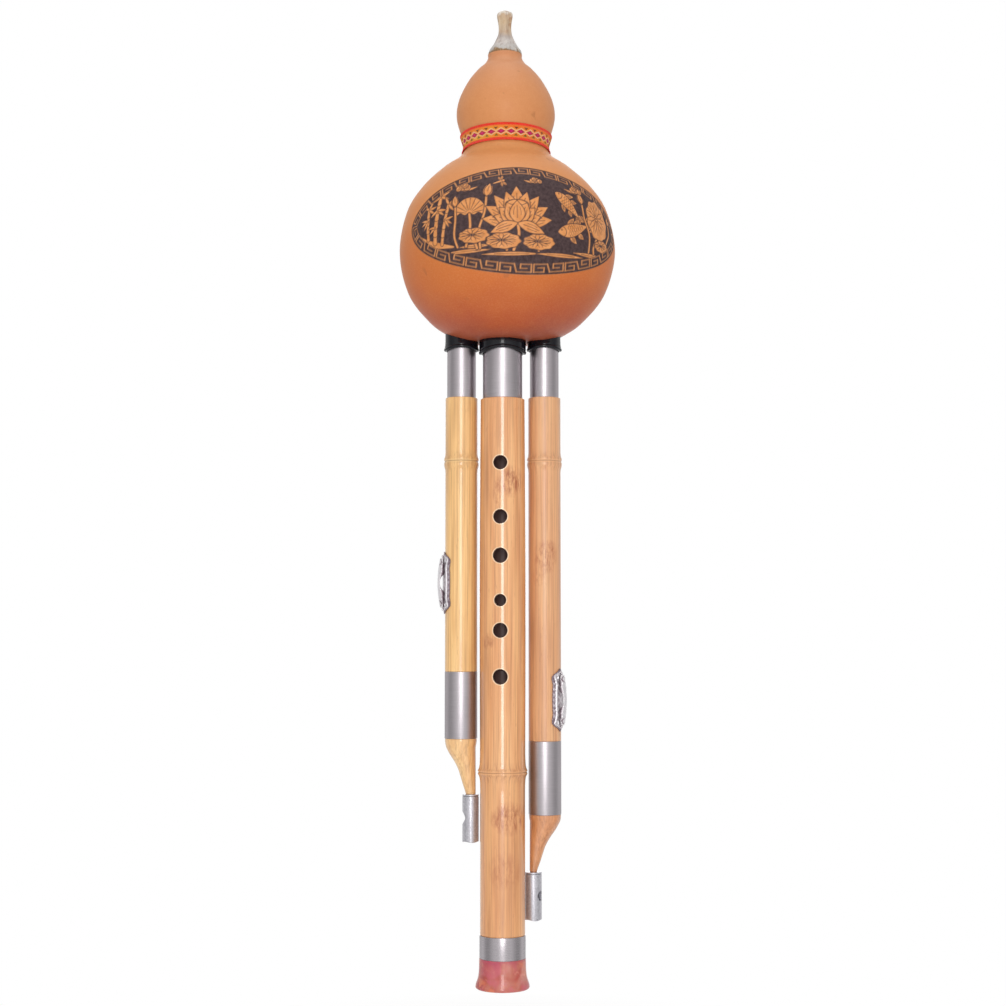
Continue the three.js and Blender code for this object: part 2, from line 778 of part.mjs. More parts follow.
function handlePins(drone) {
  const seat = bowBase + rosetteHeight + fitGap;
  const turn = drone.handleTurn;
  return pinHeights(drone).map((height, i) => {
    const shank = crossRod(pinRadius, droneRadius - pinBite, seat + pinHeadHeight, turn, height, pinSides);
    const head = crossRod(pinHeadRadius, seat, seat + pinHeadHeight, turn, height, pinSides);
    const name = drone.name + (i === 0 ? "_lower" : "_upper") + "_handle_pin";
    return piece(name, join([shank, head]), castSilver);
  });
}

// Shut-off valve on the nozzle, modelled about its own axis with its port away from the melody pipe

function valvePortHeight(drone) {
  const { valveFoot } = droneHeights(drone);
  return valveFoot + valveSleeveLength * (1 - valveHoleShare);
}

function valveCore(drone) {
  const { valveFoot, valveTop: top } = droneHeights(drone);
  const shank = valveRadius - valveWall - fitGap;
  const foot = valveFoot + fitGap + plugHeight + endGap;
  const solidFoot = foot + plugHeight;
  const body = turned(
    [
      [0, foot],
      [shank, foot],
      [shank, top - valveHeadHeight],
      [valveRadius, top - valveHeadHeight],
      [valveRadius, top],
      [nozzleBoreRadius, top],
      [nozzleBoreRadius, top + valveSpigotLength],
      [0, top + valveSpigotLength],
    ],
    smallSides,
  );
  const air = rod(nozzleBoreRadius / 2, top - valveHeadHeight, top + valveSpigotLength + overrun, smallSides);
  const bore = rod(shankBoreRadius, solidFoot, top - valveHeadHeight, smallSides);
  const reach = valveRadius + overrun;
  const port = crossRod(portRadius, 0, reach, drone.portTurn, valvePortHeight(drone), smallSides);
  return piece(drone.name + "_valve_core", cut(body, [air, bore, port]), valveMetal);
}

function valveSleeve(drone) {
  const { valveFoot } = droneHeights(drone);
  const top = valveFoot + valveSleeveLength;
  const body = pipe(valveRadius, valveRadius - valveWall, valveFoot, top, droneSides);
  const reach = valveRadius + overrun;
  const hole = crossRod(valveHoleRadius, 0, reach, drone.portTurn, valvePortHeight(drone), smallSides);
  return piece(drone.name + "_valve_sleeve", cut(body, [hole]), valveMetal);
}

function valvePlug(drone) {
  const foot = droneHeights(drone).valveFoot + fitGap;
  const radius = valveRadius - valveWall - fitGap;
  const body = rod(radius, foot, foot + plugHeight, smallSides);
  const slot = block(2 * radius + overrun, slotWidth, 2 * slotDepth, 0, 0, foot);
  return piece(drone.name + "_valve_plug", cut(body, [slot]), valveMetal);
}

// The pieces about one axis, mirrored in place by a half turn for the left pipe
function placed(pieces, x, y, outward) {
  const group = new THREE.Group();
  group.add(...pieces);
  group.position.set(x, y, 0);
  if (outward < 0) group.rotation.z = Math.PI;
  return group;
}

function dronePipe(drone) {
  const inner = droneTubeRadius - droneTubeWall;
  const axisX = drone.outward * drone.axisOffset;
  const valveX = drone.outward * (drone.axisOffset - nozzleOffset(drone));
  const both = new THREE.Group();
  both.add(
    placed(
      [droneTube(drone), droneBamboo(drone), droneFerrule(drone), droneSpout(drone)],
      axisX,
      droneSetBack,
      drone.outward,
    ),
    placed(
      [handlePlate(drone), handleBow(drone), ...handlePins(drone)],
      axisX,
      droneSetBack,
      drone.outward,
    ),
    placed(
      [valveCore(drone), valveSleeve(drone), valvePlug(drone)],
      valveX,
      droneSetBack,
      drone.outward,
    ),
    placed(
      [
        reedSeat(drone.name + "_reed_seat", inner, droneTubeTop, droneReed, droneSides),
        reedPlate(drone.name + "_reed", inner, droneTubeTop, droneReed),
      ],
      axisX,
      droneSetBack,
      1,
    ),
  );
  return both;
}

function melodyPipe() {
  const inner = mainTubeRadius - mainTubeWall;
  const group = new THREE.Group();
  group.add(
    mainTube(),
    mainBamboo(),
    reedSeat("main_reed_seat", inner, mainTubeTop, mainReed, pipeSides),
    reedPlate("main_reed", inner, mainTubeTop, mainReed),
    tailRing(),
    tailBell(),
  );
  return group;
}

function windChest() {
  const centre = { x: 0, y: 0, shape: centreSleeve, tubeRadius: mainTubeRadius };
  const sides = [leftDrone, rightDrone].map((drone) => ({
    x: drone.outward * drone.axisOffset,
    y: droneSetBack,
    shape: sideSleeve,
    tubeRadius: droneTubeRadius,
  }));
  const group = new THREE.Group();
  group.add(
    ...gourdPieces([centre, ...sides]),
    blowStem(),
    waistRibbon(),
    socketSleeve("centre_sleeve", centre),
    socketSleeve("left_sleeve", sides[0]),
    socketSleeve("right_sleeve", sides[1]),
  );
  return group;
}

const hulusi = new THREE.Group();
hulusi.add(windChest(), melodyPipe(), dronePipe(leftDrone), dronePipe(rightDrone));

export default hulusi;
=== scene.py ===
import math
from math import cos, pi, radians, sin

import bmesh
import bpy
import numpy as np
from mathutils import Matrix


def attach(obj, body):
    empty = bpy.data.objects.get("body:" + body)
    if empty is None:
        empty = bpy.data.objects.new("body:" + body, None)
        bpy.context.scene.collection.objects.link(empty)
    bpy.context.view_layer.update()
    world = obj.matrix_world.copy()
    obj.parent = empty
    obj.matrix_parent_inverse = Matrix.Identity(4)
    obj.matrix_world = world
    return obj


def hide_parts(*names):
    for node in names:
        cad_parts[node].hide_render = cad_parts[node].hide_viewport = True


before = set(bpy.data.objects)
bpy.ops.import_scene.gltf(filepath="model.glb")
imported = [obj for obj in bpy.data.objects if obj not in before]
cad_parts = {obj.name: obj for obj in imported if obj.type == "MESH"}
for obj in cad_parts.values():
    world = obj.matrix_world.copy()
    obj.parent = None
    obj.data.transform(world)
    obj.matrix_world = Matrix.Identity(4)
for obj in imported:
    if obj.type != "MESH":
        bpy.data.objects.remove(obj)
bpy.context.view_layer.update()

mm = 0.001
full_turn, quarter = 2 * pi, pi / 2
scene = bpy.context.scene
scene.view_settings.view_transform = "Standard"


def add_object(name, data):
    made = bpy.data.objects.new(name, data)
    bpy.context.collection.objects.link(made)
    return made


# Camera: in front of the lower third of the pipes, looking a little up
camera = add_object("camera", bpy.data.cameras.new("camera"))
camera.data.lens, camera.data.sensor_width, camera.data.clip_end = 64.41, 36, 30
camera.location = (0.0002, -0.810, 0.1536)
camera.rotation_euler = (radians(94.35), 0, 0)
scene.camera = camera


# Colours and shader nodes

def srgb(red, green, blue):
    def linear(value):
        return value / 12.92 if value <= 0.04045 else ((value + 0.055) / 1.055) ** 2.4
    return (linear(red), linear(green), linear(blue), 1)


def colour_of(tone):
    """A plain red, green and blue becomes a linear colour. Anything else stays."""
    return srgb(*tone) if isinstance(tone, tuple) and len(tone) == 3 else tone


class Signal:
    """The output of a shader node, which sums can be written with."""

    def __init__(self, shader, socket):
        self.shader, self.socket = shader, socket

    def __add__(self, other):
        return self.shader.math("ADD", self, other)

    def __sub__(self, other):
        return self.shader.math("SUBTRACT", self, other)

    def __rsub__(self, other):
        return self.shader.math("SUBTRACT", other, self)

    def __mul__(self, other):
        return self.shader.math("MULTIPLY", self, other)

    def __truediv__(self, other):
        return self.shader.math("DIVIDE", self, other)

    def __abs__(self):
        return self.shader.math("ABSOLUTE", self)


class Shader:
    """One material's nodes, with the place that they work on and its x, y and z."""

    def __init__(self, name, tree=None, coordinates="Object"):
        if tree is None:
            self.material = bpy.data.materials.new(name)
            self.material.use_nodes = True
            tree = self.material.node_tree
        self.tree = tree
        tree.nodes.clear()
        self.place = self.new("ShaderNodeTexCoord", output=coordinates)
        parts = self.new("ShaderNodeSeparateXYZ", {0: self.place}).socket.node.outputs
        self.x, self.y, self.z = (Signal(self, part) for part in parts)

    def new(self, kind, inputs=(), output=0, **settings):
        """A node with its settings and inputs. Gives one of its outputs."""
        node = self.tree.nodes.new(kind)
        for key, value in settings.items():
            setattr(node, key, value)
        for key, value in dict(inputs).items():
            if isinstance(value, Signal):
                self.tree.links.new(value.socket, node.inputs[key])
            else:
                node.inputs[key].default_value = value
        return Signal(self, node.outputs[output]) if node.outputs else None

    def math(self, operation, *values):
        return self.new("ShaderNodeMath", enumerate(values), operation=operation)

    def length(self, x, y):
        return self.math("SQRT", x * x + y * y)

    def moved(self, shift, scale=(1, 1, 1)):
        """The place, shifted and then scaled."""
        shifted = self.new("ShaderNodeVectorMath", {0: self.place, 1: shift}, operation="ADD")
        return self.new("ShaderNodeVectorMath", {0: shifted, 1: scale}, operation="MULTIPLY")

    def noise(self, scale, detail=3, roughness=0.5, distortion=0, shift=(0, 0, 0), wide=1, tall=1):
        inputs = {
            "Vector": self.moved(shift, (wide, wide, tall)), "Scale": scale, "Detail": detail,
            "Roughness": roughness, "Distortion": distortion,
        }
        return self.new("ShaderNodeTexNoise", inputs)

    def spread(self, value, low, high, start=0, end=1):
        """The value's span from low to high, stretched to start and end and held there."""
        return self.new("ShaderNodeMapRange", {"Value": value, 1: low, 2: high, 3: start, 4: end})

    def mix(self, share, first, second):
        inputs = {0: share, 6: colour_of(first), 7: colour_of(second)}
        return self.new("ShaderNodeMix", inputs, 2, data_type="RGBA")

    def layers(self, colour, *layers):
        """Tones laid over a colour, each by a share, or by a value's span from low to high and the most."""
        for share, *span, tone in layers:
            if span:
                low, high, most = span
                share = self.spread(share, low, high, 0, most)
            colour = self.mix(share, colour, tone)
        return colour

    def ramp(self, value, *stops):
        made = self.new("ShaderNodeValToRGB", {0: value})
        elements = made.socket.node.color_ramp.elements
        while len(elements) < len(stops):
            elements.new(1)
        for element, (place, tone) in zip(elements, stops):
            element.position = place
            element.color = colour_of(tone)
        return made

    def attribute(self, name):
        return self.new("ShaderNodeAttribute", output="Fac", attribute_name=name)

    def ray(self, kind):
        return self.new("ShaderNodeLightPath", output=f"Is {kind} Ray")

    def bump(self, height, distance, strength):
        return self.new("ShaderNodeBump", {"Height": height, "Distance": distance, "Strength": strength})

    def finish(self, colour, roughness, normal, **values):
        """The material. Its further values are named after the shader's sockets."""
        inputs = {"Base Color": colour, "Roughness": roughness, "Normal": normal}
        for key, value in values.items():
            inputs[key.replace("_", " ").title().replace("Ior", "IOR")] = value
        surface = self.new("ShaderNodeBsdfPrincipled", inputs)
        self.new("ShaderNodeOutputMaterial", {"Surface": surface})
        return self.material


# Meshes from rings of points, in millimetres

def smooth_curve(points, steps):
    """A curve through the points, with the same count of steps in each span."""
    points = np.asarray(points, float)
    last = len(points) - 1
    t = np.linspace(0, last, last * steps + 1)
    i = np.minimum(t.astype(int), last - 1)
    w = (t - i)[:, None]
    p0, p1 = points[np.maximum(i - 1, 0)], points[i]
    p2, p3 = points[i + 1], points[np.minimum(i + 2, last)]
    v0, v1 = (p2 - p0) / 2, (p3 - p1) / 2
    cubic, square = 2 * p1 - 2 * p2 + v0 + v1, 3 * p2 - 3 * p1 - 2 * v0 - v1
    return ((cubic * w + square) * w + v0) * w + p1


def rounded(points, radius, steps=3):
    """A closed outline with its sharp corners rounded."""
    points = np.asarray(points, float)
    made = []
    for i, corner in enumerate(points):
        before, after = points[i - 1] - corner, points[(i + 1) % len(points)] - corner
        a, b = np.linalg.norm(before), np.linalg.norm(after)
        turn = math.degrees(math.acos(np.clip(-before @ after / (a * b), -1, 1)))
        if turn < 25:
            made.append(corner)
            continue
        reach = min(radius, 0.45 * a, 0.45 * b)
        start, end = corner + before / a * reach, corner + after / b * reach
        for t in np.linspace(0, 1, steps + 1):
            made.append(start * (1 - t) ** 2 + 2 * corner * t * (1 - t) + end * t**2)
    return np.array(made)


def around(sides):
    return np.linspace(0, full_turn, sides, endpoint=False)


def tube_outline(inner, outer, low, high):
    return [(inner, low), (outer, low), (outer, high), (inner, high)]


def spun(radius, turn, x, y, z):
    """Points at a radius and a turn round an upright axis at x and y, z high."""
    return np.stack(np.broadcast_arrays(x + radius * np.cos(turn), y + radius * np.sin(turn), z), -1)


def columns(rows):
    """The first value of every row as a column, then the second values, and so on."""
    return np.asarray(rows, float).T[..., None]


def lathe(outline, sides, centre=(0, 0), swell=0):
    """Rings of a radius and height outline turned about an upright axis, swollen by an amount."""
    radius, height = columns(outline)
    return spun(radius + swell, around(sides), *centre, height)


def skin_faces(count, sides, looped, first):
    """Quads between rings, the last joined to the first when looped, else with both ends capped."""
    i = np.arange(count if looped else count - 1)[:, None]
    j = np.arange(sides)[None, :]
    here, there = i * sides, (i + 1) % count * sides
    k = (j + 1) % sides
    quads = np.stack([here + j, here + k, there + k, there + j], -1).reshape(-1, 4) + first
    faces = quads.tolist()
    if not looped:
        faces.append((np.arange(sides)[::-1] + first).tolist())
        faces.append((np.arange(sides) + (count - 1) * sides + first).tolist())
    return faces


def shape(name, *skins):
    """An object of closed skins, each given as its rings and whether they loop."""
    verts, faces, first = [], [], 0
    for rings, looped in skins:
        rings = np.asarray(rings, float)
        verts.append(rings.reshape(-1, 3))
        faces += skin_faces(len(rings), rings.shape[1], looped, first)
        first += len(verts[-1])
    mesh = bpy.data.meshes.new(name)
    mesh.from_pydata((np.concatenate(verts) * mm).tolist(), [], faces)
    turned = bmesh.new()
    turned.from_mesh(mesh)
    bmesh.ops.recalc_face_normals(turned, faces=turned.faces)
    turned.to_mesh(mesh)
    turned.free()
    return add_object(name, mesh)


def carve(piece, cutters):
    """Cuts other objects out of a piece. They are then removed."""
    for cutter in cutters:
        modifier = piece.modifiers.new("carve", "BOOLEAN")
        modifier.operation = "DIFFERENCE"
        modifier.solver = "MANIFOLD"
        modifier.object = cutter
    graph = bpy.context.evaluated_depsgraph_get()
    made = bpy.data.meshes.new_from_object(piece.evaluated_get(graph))
    piece.modifiers.clear()
    piece.data = made
    for cutter in cutters:
        bpy.data.objects.remove(cutter)
    return piece


def dress(piece, body, nodes, slot, material=None, sharp=32):
    """Gives a piece its finish, the slot's own if none is named, and its place among the bodies."""
    piece.data.materials.clear()
    piece.data.materials.append(material or finishes[slot])
    piece.data.shade_smooth()
    piece.data.set_sharp_from_angle(angle=radians(sharp))
    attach(piece, body)
    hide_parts(*nodes)


def cross_rod(reaches, direction, centre, height, sides):
    """A rod that lies across an upright axis, given as each reach from the axis and its radius."""
    along = np.array([cos(direction), sin(direction), 0])
    side = np.array([-along[1], along[0], 0])
    turn = around(sides)[:, None]
    circle = np.cos(turn) * side + np.sin(turn) * [0, 0, 1]
    place = np.array([*centre, height])
    return shape("cutter", ([place + along * reach + circle * radius for reach, radius in reaches], False))


def upright_rod(radius, low, high, centre, sides=48):
    return shape("cutter", (lathe([[radius, low], [radius, high]], sides, centre), False))


def verts_of(piece):
    places = np.empty(len(piece.data.vertices) * 3)
    piece.data.vertices.foreach_get("co", places)
    return places.reshape(-1, 3) / mm


def set_verts(piece, places):
    piece.data.vertices.foreach_set("co", (places * mm).ravel())
    piece.data.update()


def set_attribute(piece, name, values):
    attribute = piece.data.attributes.new(name, "FLOAT", "POINT")
    attribute.data.foreach_set("value", np.asarray(values, np.float32))


# Sizes of the instrument, in millimetres

ring_foot, ring_top = 13.3, 23.3
shoulder = 262.3
bamboo_length = shoulder - ring_top
main_tube_top = 322
main_tube_radius, main_tube_inside = 8.95, 8.25
gourd_bottom = 289
drone_top = 263.3
drone_tube_top = 315
drone_tube_radius, drone_tube_inside = 6.55, 5.95
drone_back = 4.5
drone_radius = 7.3
ring_radius = 10.3
spigot, main_bore = ring_radius - 1.3, 6.75
main_neck, drone_neck = 9.95, 7.5
main_rise, drone_rise = 11, 10
joint_height = ring_top + 71.6
tube_lap = 11
main_centre = (0, 0)
left_centre = (-18.7, drone_back)
right_centre = (19, drone_back)


# Gourd

gourd_wall = 3
section_rises = np.array([0, 39.5, 49, 14.5, 28.6, 1])
section_heights = gourd_bottom + np.cumsum(section_rises)
section_radii = [17, 49, 19, 22.5, 7.65, 7.85]
section_leans = 2.2 * np.array([0.68, 1, 0.73, 0.68, 0.5, 0.5])
gourd_top = section_heights[-1]
span_shares = [
    [(0, 0), (0.03, 0.156), (0.099, 0.344), (0.24, 0.575), (0.544, 0.863)],
    [(0, 0), (0.367, 0.103), (0.602, 0.333), (0.786, 0.643), (0.898, 0.9)],
    [(0, 0), (0.379, 0.343)],
    [(0, 0), (0.28, 0.074), (0.577, 0.357), (0.775, 0.66), (0.859, 0.845), (0.943, 0.963)],
    [(0, 0), (1, 1)],
]
sections = list(zip(section_radii, section_heights))
gourd_curve = smooth_curve([
    (radius + change * (next_radius - radius), height + rise * (next_height - height))
    for span, (radius, height), (next_radius, next_height) in zip(span_shares, sections, sections[1:])
    for rise, change in span
], 40)
gourd_arc = np.concatenate([[0], np.cumsum(np.hypot(*np.diff(gourd_curve, axis=0).T))])


def lean_at(height):
    return np.interp(height, section_heights, section_leans)


def gourd_radius_at(height):
    return np.interp(height, gourd_curve[:, 1], gourd_curve[:, 0])


# Engraved panel: its middle on the gourd, and its outline's half sizes along the skin
panel_turn = radians(10.5)
panel_radius = 48
panel_arc = 62
panel_shift = -0.9
panel_half_width = 58.9
panel_up, panel_up_power = 26.8, 1.7
panel_down, panel_down_power = 25.7, 1.85
fret_edge, fret_width, fret_line = 0.8, 3.4, 0.66
fret_count = 17
far_out = -99.0


def panel_half(v):
    """The panel's half height and its outline's power, above or below its middle."""
    return np.where(v >= 0, panel_up, panel_down), np.where(v >= 0, panel_up_power, panel_down_power)


def border_depth(u, v):
    """How far inside the panel's outline each point is, near enough, in millimetres."""
    high, power = panel_half(v)
    x = np.maximum(np.abs(u - panel_shift), 0.01) / panel_half_width
    y = np.maximum(np.abs(v), 0.01) / high
    level = (x**power + y**power) ** (1 / power)
    slope = level ** (1 - power) * np.hypot(
        x ** (power - 1) / panel_half_width, y ** (power - 1) / high
    )
    return (1 - level) / slope


def border_outline(count):
    """The panel's outline as points, and how far each is along it."""
    turn = np.linspace(0, full_turn, count)
    c, s = np.cos(turn), np.sin(turn)
    high, power = panel_half(s)
    x = panel_shift + panel_half_width * np.sign(c) * np.abs(c) ** (2 / power)
    y = high * np.sign(s) * np.abs(s) ** (2 / power)
    points = np.stack([x, y], 1)
    return points, np.concatenate([[0], np.cumsum(np.hypot(*np.diff(points, axis=0).T))])


class Engraving:
    """Light motifs left standing on burnt ground. A depth is how far inside a form a point is."""

    soft_edge = 0.3

    def __init__(self, u, v):
        self.u, self.v = u, v
        self.light = np.zeros_like(u)

    def cover(self, depth):
        return np.clip(0.5 + depth / self.soft_edge, 0, 1)

    def cut(self, depth):
        self.light *= 1 - self.cover(depth)

    def paint(self, depth, rim=0.38):
        self.cut(depth + rim)
        self.light = np.maximum(self.light, self.cover(depth))

    def line(self, points, radii):
        radii = np.broadcast_to(radii, len(points))
        depth = np.full_like(self.u, far_out)
        for (a, b), (start, end) in zip(zip(points, points[1:]), zip(radii, radii[1:])):
            du, dv = b[0] - a[0], b[1] - a[1]
            t = np.clip(((self.u - a[0]) * du + (self.v - a[1]) * dv) / (du**2 + dv**2), 0, 1)
            away = np.hypot(self.u - a[0] - t * du, self.v - a[1] - t * dv)
            depth = np.maximum(depth, start + (end - start) * t - away)
        return depth

    def curve(self, points, radii):
        fine = smooth_curve(points, 6)
        radii = np.atleast_1d(radii)
        radii = np.interp(np.linspace(0, 1, len(fine)), np.linspace(0, 1, len(radii)), radii)
        return self.line(fine, radii)

    def turned(self, foot, turn):
        du, dv = self.u - foot[0], self.v - foot[1]
        c, s = cos(turn), sin(turn)
        return du * c + dv * s, dv * c - du * s

    def leaf(self, foot, degrees, length, half, power=1.0, bend=0.0):
        """A leaf from its foot along a direction, its widest part nearer the foot for a low power."""
        x, y = self.turned(foot, radians(degrees))
        t = np.clip(x / length, 0, 1)
        y = y - bend * t**2
        width = half * np.sin(pi * t**power)
        return np.minimum(width - np.abs(y), np.minimum(x, length - x))

    def vein(self, foot, degrees, length, bend, radius, start, end):
        x, y = self.turned(foot, radians(degrees))
        t = x / length
        inside = (t > start) & (t < end)
        return np.where(inside, radius - np.abs(y - bend * t**2), far_out)

    def oval(self, middle, wide, high, waves=0, ripple=0.0, phase=0.0):
        du, dv = (self.u - middle[0]) / wide, (self.v - middle[1]) / high
        edge = 1 + ripple * np.cos(waves * np.arctan2(dv, du) + phase)
        return (edge - np.hypot(du, dv)) * min(wide, high)

    def arc(self, middle, radius, start, end, half):
        du, dv = self.u - middle[0], self.v - middle[1]
        turn = np.degrees(np.arctan2(dv, du)) % 360
        inside = (turn - start) % 360 < (end - start) % 360
        return np.where(inside, half - np.abs(np.hypot(du, dv) - radius), far_out)


def petal(art, foot, degrees, length, half, power=0.85, bend=0.0):
    """A leaf with a middle vein and a shorter one at each side."""
    art.paint(art.leaf(foot, degrees, length, half, power, bend))
    art.cut(art.vein(foot, degrees, length, bend, 0.13, 0.2, 0.8))
    x, y = art.turned(foot, radians(degrees))
    t = np.clip(x / length, 0, 1)
    inside = (t > 0.35) & (t < 0.72)
    for side in (-1, 1):
        line = side * half * 0.5 * np.sin(pi * t**power) + bend * t**2
        art.cut(np.where(inside, 0.1 - np.abs(y - line), far_out))


def lotus(art, foot, size, stem):
    """An open blossom, its back petals first, on a stem."""
    art.paint(art.curve([foot, *stem], 0.55))
    for degrees, length in ((8, 1), (172, 1), (30, 1.04), (150, 1.04), (52, 1.08), (128, 1.08)):
        petal(art, foot, degrees, size * length, size * 0.2)
    petal(art, foot, 90, size * 1.16, size * 0.24)
    for degrees in (72, 108):
        petal(art, foot, degrees, size * 1.02, size * 0.21)
    pod = (foot[0], foot[1] + size * 0.56)
    art.paint(art.oval(pod, size * 0.3, size * 0.15))
    for i in range(5):
        art.cut(art.oval((pod[0] + (i - 2) * size * 0.11, pod[1] + 0.1), 0.3, 0.3))
    for degrees in (18, 162, 42, 138, 64, 116, 90):
        petal(art, foot, degrees, size * 0.68, size * 0.21)
    for degrees in (-14, 194):
        petal(art, foot, degrees, size * 0.8, size * 0.15, 0.9, -1.2 if degrees < 90 else 1.2)


def bud(art, foot, size, degrees, stem):
    art.paint(art.curve([foot, *stem], 0.42))
    for turn, length in ((-24, 0.86), (24, 0.86), (0, 1)):
        art.paint(art.leaf(foot, degrees + turn * 0.55, size * length, size * 0.24, 0.8))
    art.cut(art.vein(foot, degrees, size, 0, 0.12, 0.3, 0.8))


def beside(spot, turn, wide, high):
    return (spot[0] + wide * cos(turn), spot[1] + high * sin(turn))


def round_leaf(art, middle, wide, high, rays, stem):
    """A lotus leaf seen from above, with forked veins."""
    art.paint(art.curve(stem, 0.5))
    art.paint(art.oval(middle, wide, high, 9, 0.045, 0.6))
    hub = (middle[0] - 0.12 * wide, middle[1] + 0.1 * high)
    for i in range(rays):
        turn = full_turn * (i + 0.3) / rays
        mid = beside(hub, turn, 0.5 * wide, 0.5 * high)
        art.cut(art.line([beside(hub, turn, 0.14 * wide, 0.14 * high), mid], [0.2, 0.15]))
        for fork in (-0.17, 0.17):
            end = beside(hub, turn + fork, 0.86 * wide, 0.84 * high)
            art.cut(art.line([mid, end], [0.14, 0.08]))
    art.cut(art.oval(hub, 0.5, 0.5))


def side_leaf(art, foot, wide, high, stem):
    """A lotus leaf seen from the side, like a ribbed parasol with a wavy lip."""
    art.paint(art.curve([foot, *stem], 0.5))
    cap = art.oval((foot[0], foot[1] - 0.1 * high), wide, high)
    lip = foot[1] + 0.5 * np.cos((art.u - foot[0]) * 1.5)
    art.paint(np.minimum(cap, art.v - lip))
    for i in range(9):
        turn = pi * (i + 0.5) / 9
        start, end = beside(foot, turn, 0.2 * wide, 0.2 * high), beside(foot, turn, 0.9 * wide, 0.86 * high)
        art.cut(art.line([start, end], [0.1, 0.17]))


def carp(art, nose, degrees, length, bend):
    """A fish with scales, a forked tail and trailing fins."""
    half, pitch, eye_side = length * 0.17, 1.25, length * 0.051
    direction = radians(degrees)

    def at(along, across):
        across += bend * along**2
        return (
            nose[0] + length * along * cos(direction) - across * sin(direction),
            nose[1] + length * along * sin(direction) + across * cos(direction),
        )

    swing = math.degrees(math.atan2(2 * bend, length))
    for turn, reach in ((-34, 0.42), (30, 0.46), (-14, 0.3), (12, 0.3)):
        petal(art, at(0.9, 0), degrees + swing + turn, length * reach, length * 0.07, 1, 0.0)
    for place, side, turn, reach in (
        (0.3, 1, 38, 0.34), (0.52, 1, 30, 0.26), (0.34, -1, -48, 0.3), (0.62, -1, -40, 0.22),
    ):
        petal(art, at(place, side * half * 0.75), degrees + turn, length * reach, length * 0.065, 0.8)
    art.paint(art.leaf(nose, degrees, length, half, 0.72, bend))
    x, y = art.turned(nose, direction)
    t = x / length
    y = y - bend * t**2
    row = np.floor(y / pitch + 0.5)
    along = (x - length * 0.3 + (row % 2) * pitch * 0.5) % pitch
    scale = np.hypot(along - pitch * 0.1, y - row * pitch)
    width = half * np.sin(pi * np.clip(t, 0, 1) ** 0.72)
    inside = (t > 0.3) & (t < 0.88) & (width - np.abs(y) > 0.25)
    art.cut(np.where(inside, 0.1 - np.abs(scale - pitch * 0.62), far_out))
    art.cut(art.arc(at(0.1, 0), length * 0.14, degrees - 60, degrees + 60, 0.16))
    art.cut(art.oval(at(0.11, eye_side), 0.42, 0.42))
    art.light = np.maximum(art.light, art.cover(art.oval(at(0.11, eye_side), 0.18, 0.18)))


def cloud(art, middle, size, facing):
    """A scrolled cloud with a trailing tail."""
    lobes = ((0, 0.1, 0.5), (0.62, -0.05, 0.4), (-0.6, -0.08, 0.38), (0.3, 0.3, 0.34))
    tail = [(-0.6, -0.3), (0.4, -0.38), (1.3, -0.28), (2.0, -0.02)]
    place = [(middle[0] + facing * size * a, middle[1] + size * b) for a, b in tail]
    art.paint(art.curve(place, [0.1, 0.55, 0.45, 0.05]))
    for across, up, radius in lobes:
        spot = (middle[0] + facing * size * across, middle[1] + size * up)
        art.paint(art.oval(spot, size * radius, size * radius))
        art.cut(art.arc(spot, size * radius * 0.55, 200, 110, 0.13))
        art.cut(art.oval(spot, 0.22, 0.22))


def stalk(art, foot, top, radius, joints):
    foot, top = np.array(foot), np.array(top)
    for i in range(joints):
        start, end = (foot + (top - foot) * (i + share) / joints for share in (0.06, 0.94))
        art.paint(art.line([start, (start + end) / 2, end], [radius * 1.12, radius * 0.9, radius]), 0.28)


def leaves(art, spot, size, turns):
    for degrees in turns:
        art.paint(art.leaf(spot, degrees, size, size * 0.12, 0.75, 0.3), 0.25)


def dragonfly(art, middle, size, degrees):
    for turn, reach in ((62, 1), (100, 0.9), (-62, 1), (-100, 0.9)):
        art.paint(art.leaf(middle, degrees + turn, size * reach, size * 0.15, 1.5), 0.25)
        art.cut(art.vein(middle, degrees + turn, size * reach, 0, 0.09, 0.3, 0.9))
    tail, head = (beside(middle, radians(degrees), size * reach, size * reach) for reach in (-1.15, 0.3))
    art.paint(art.line([head, middle, tail], [0.45, 0.5, 0.2]), 0.25)
    art.paint(art.oval(head, 0.6, 0.6), 0.2)


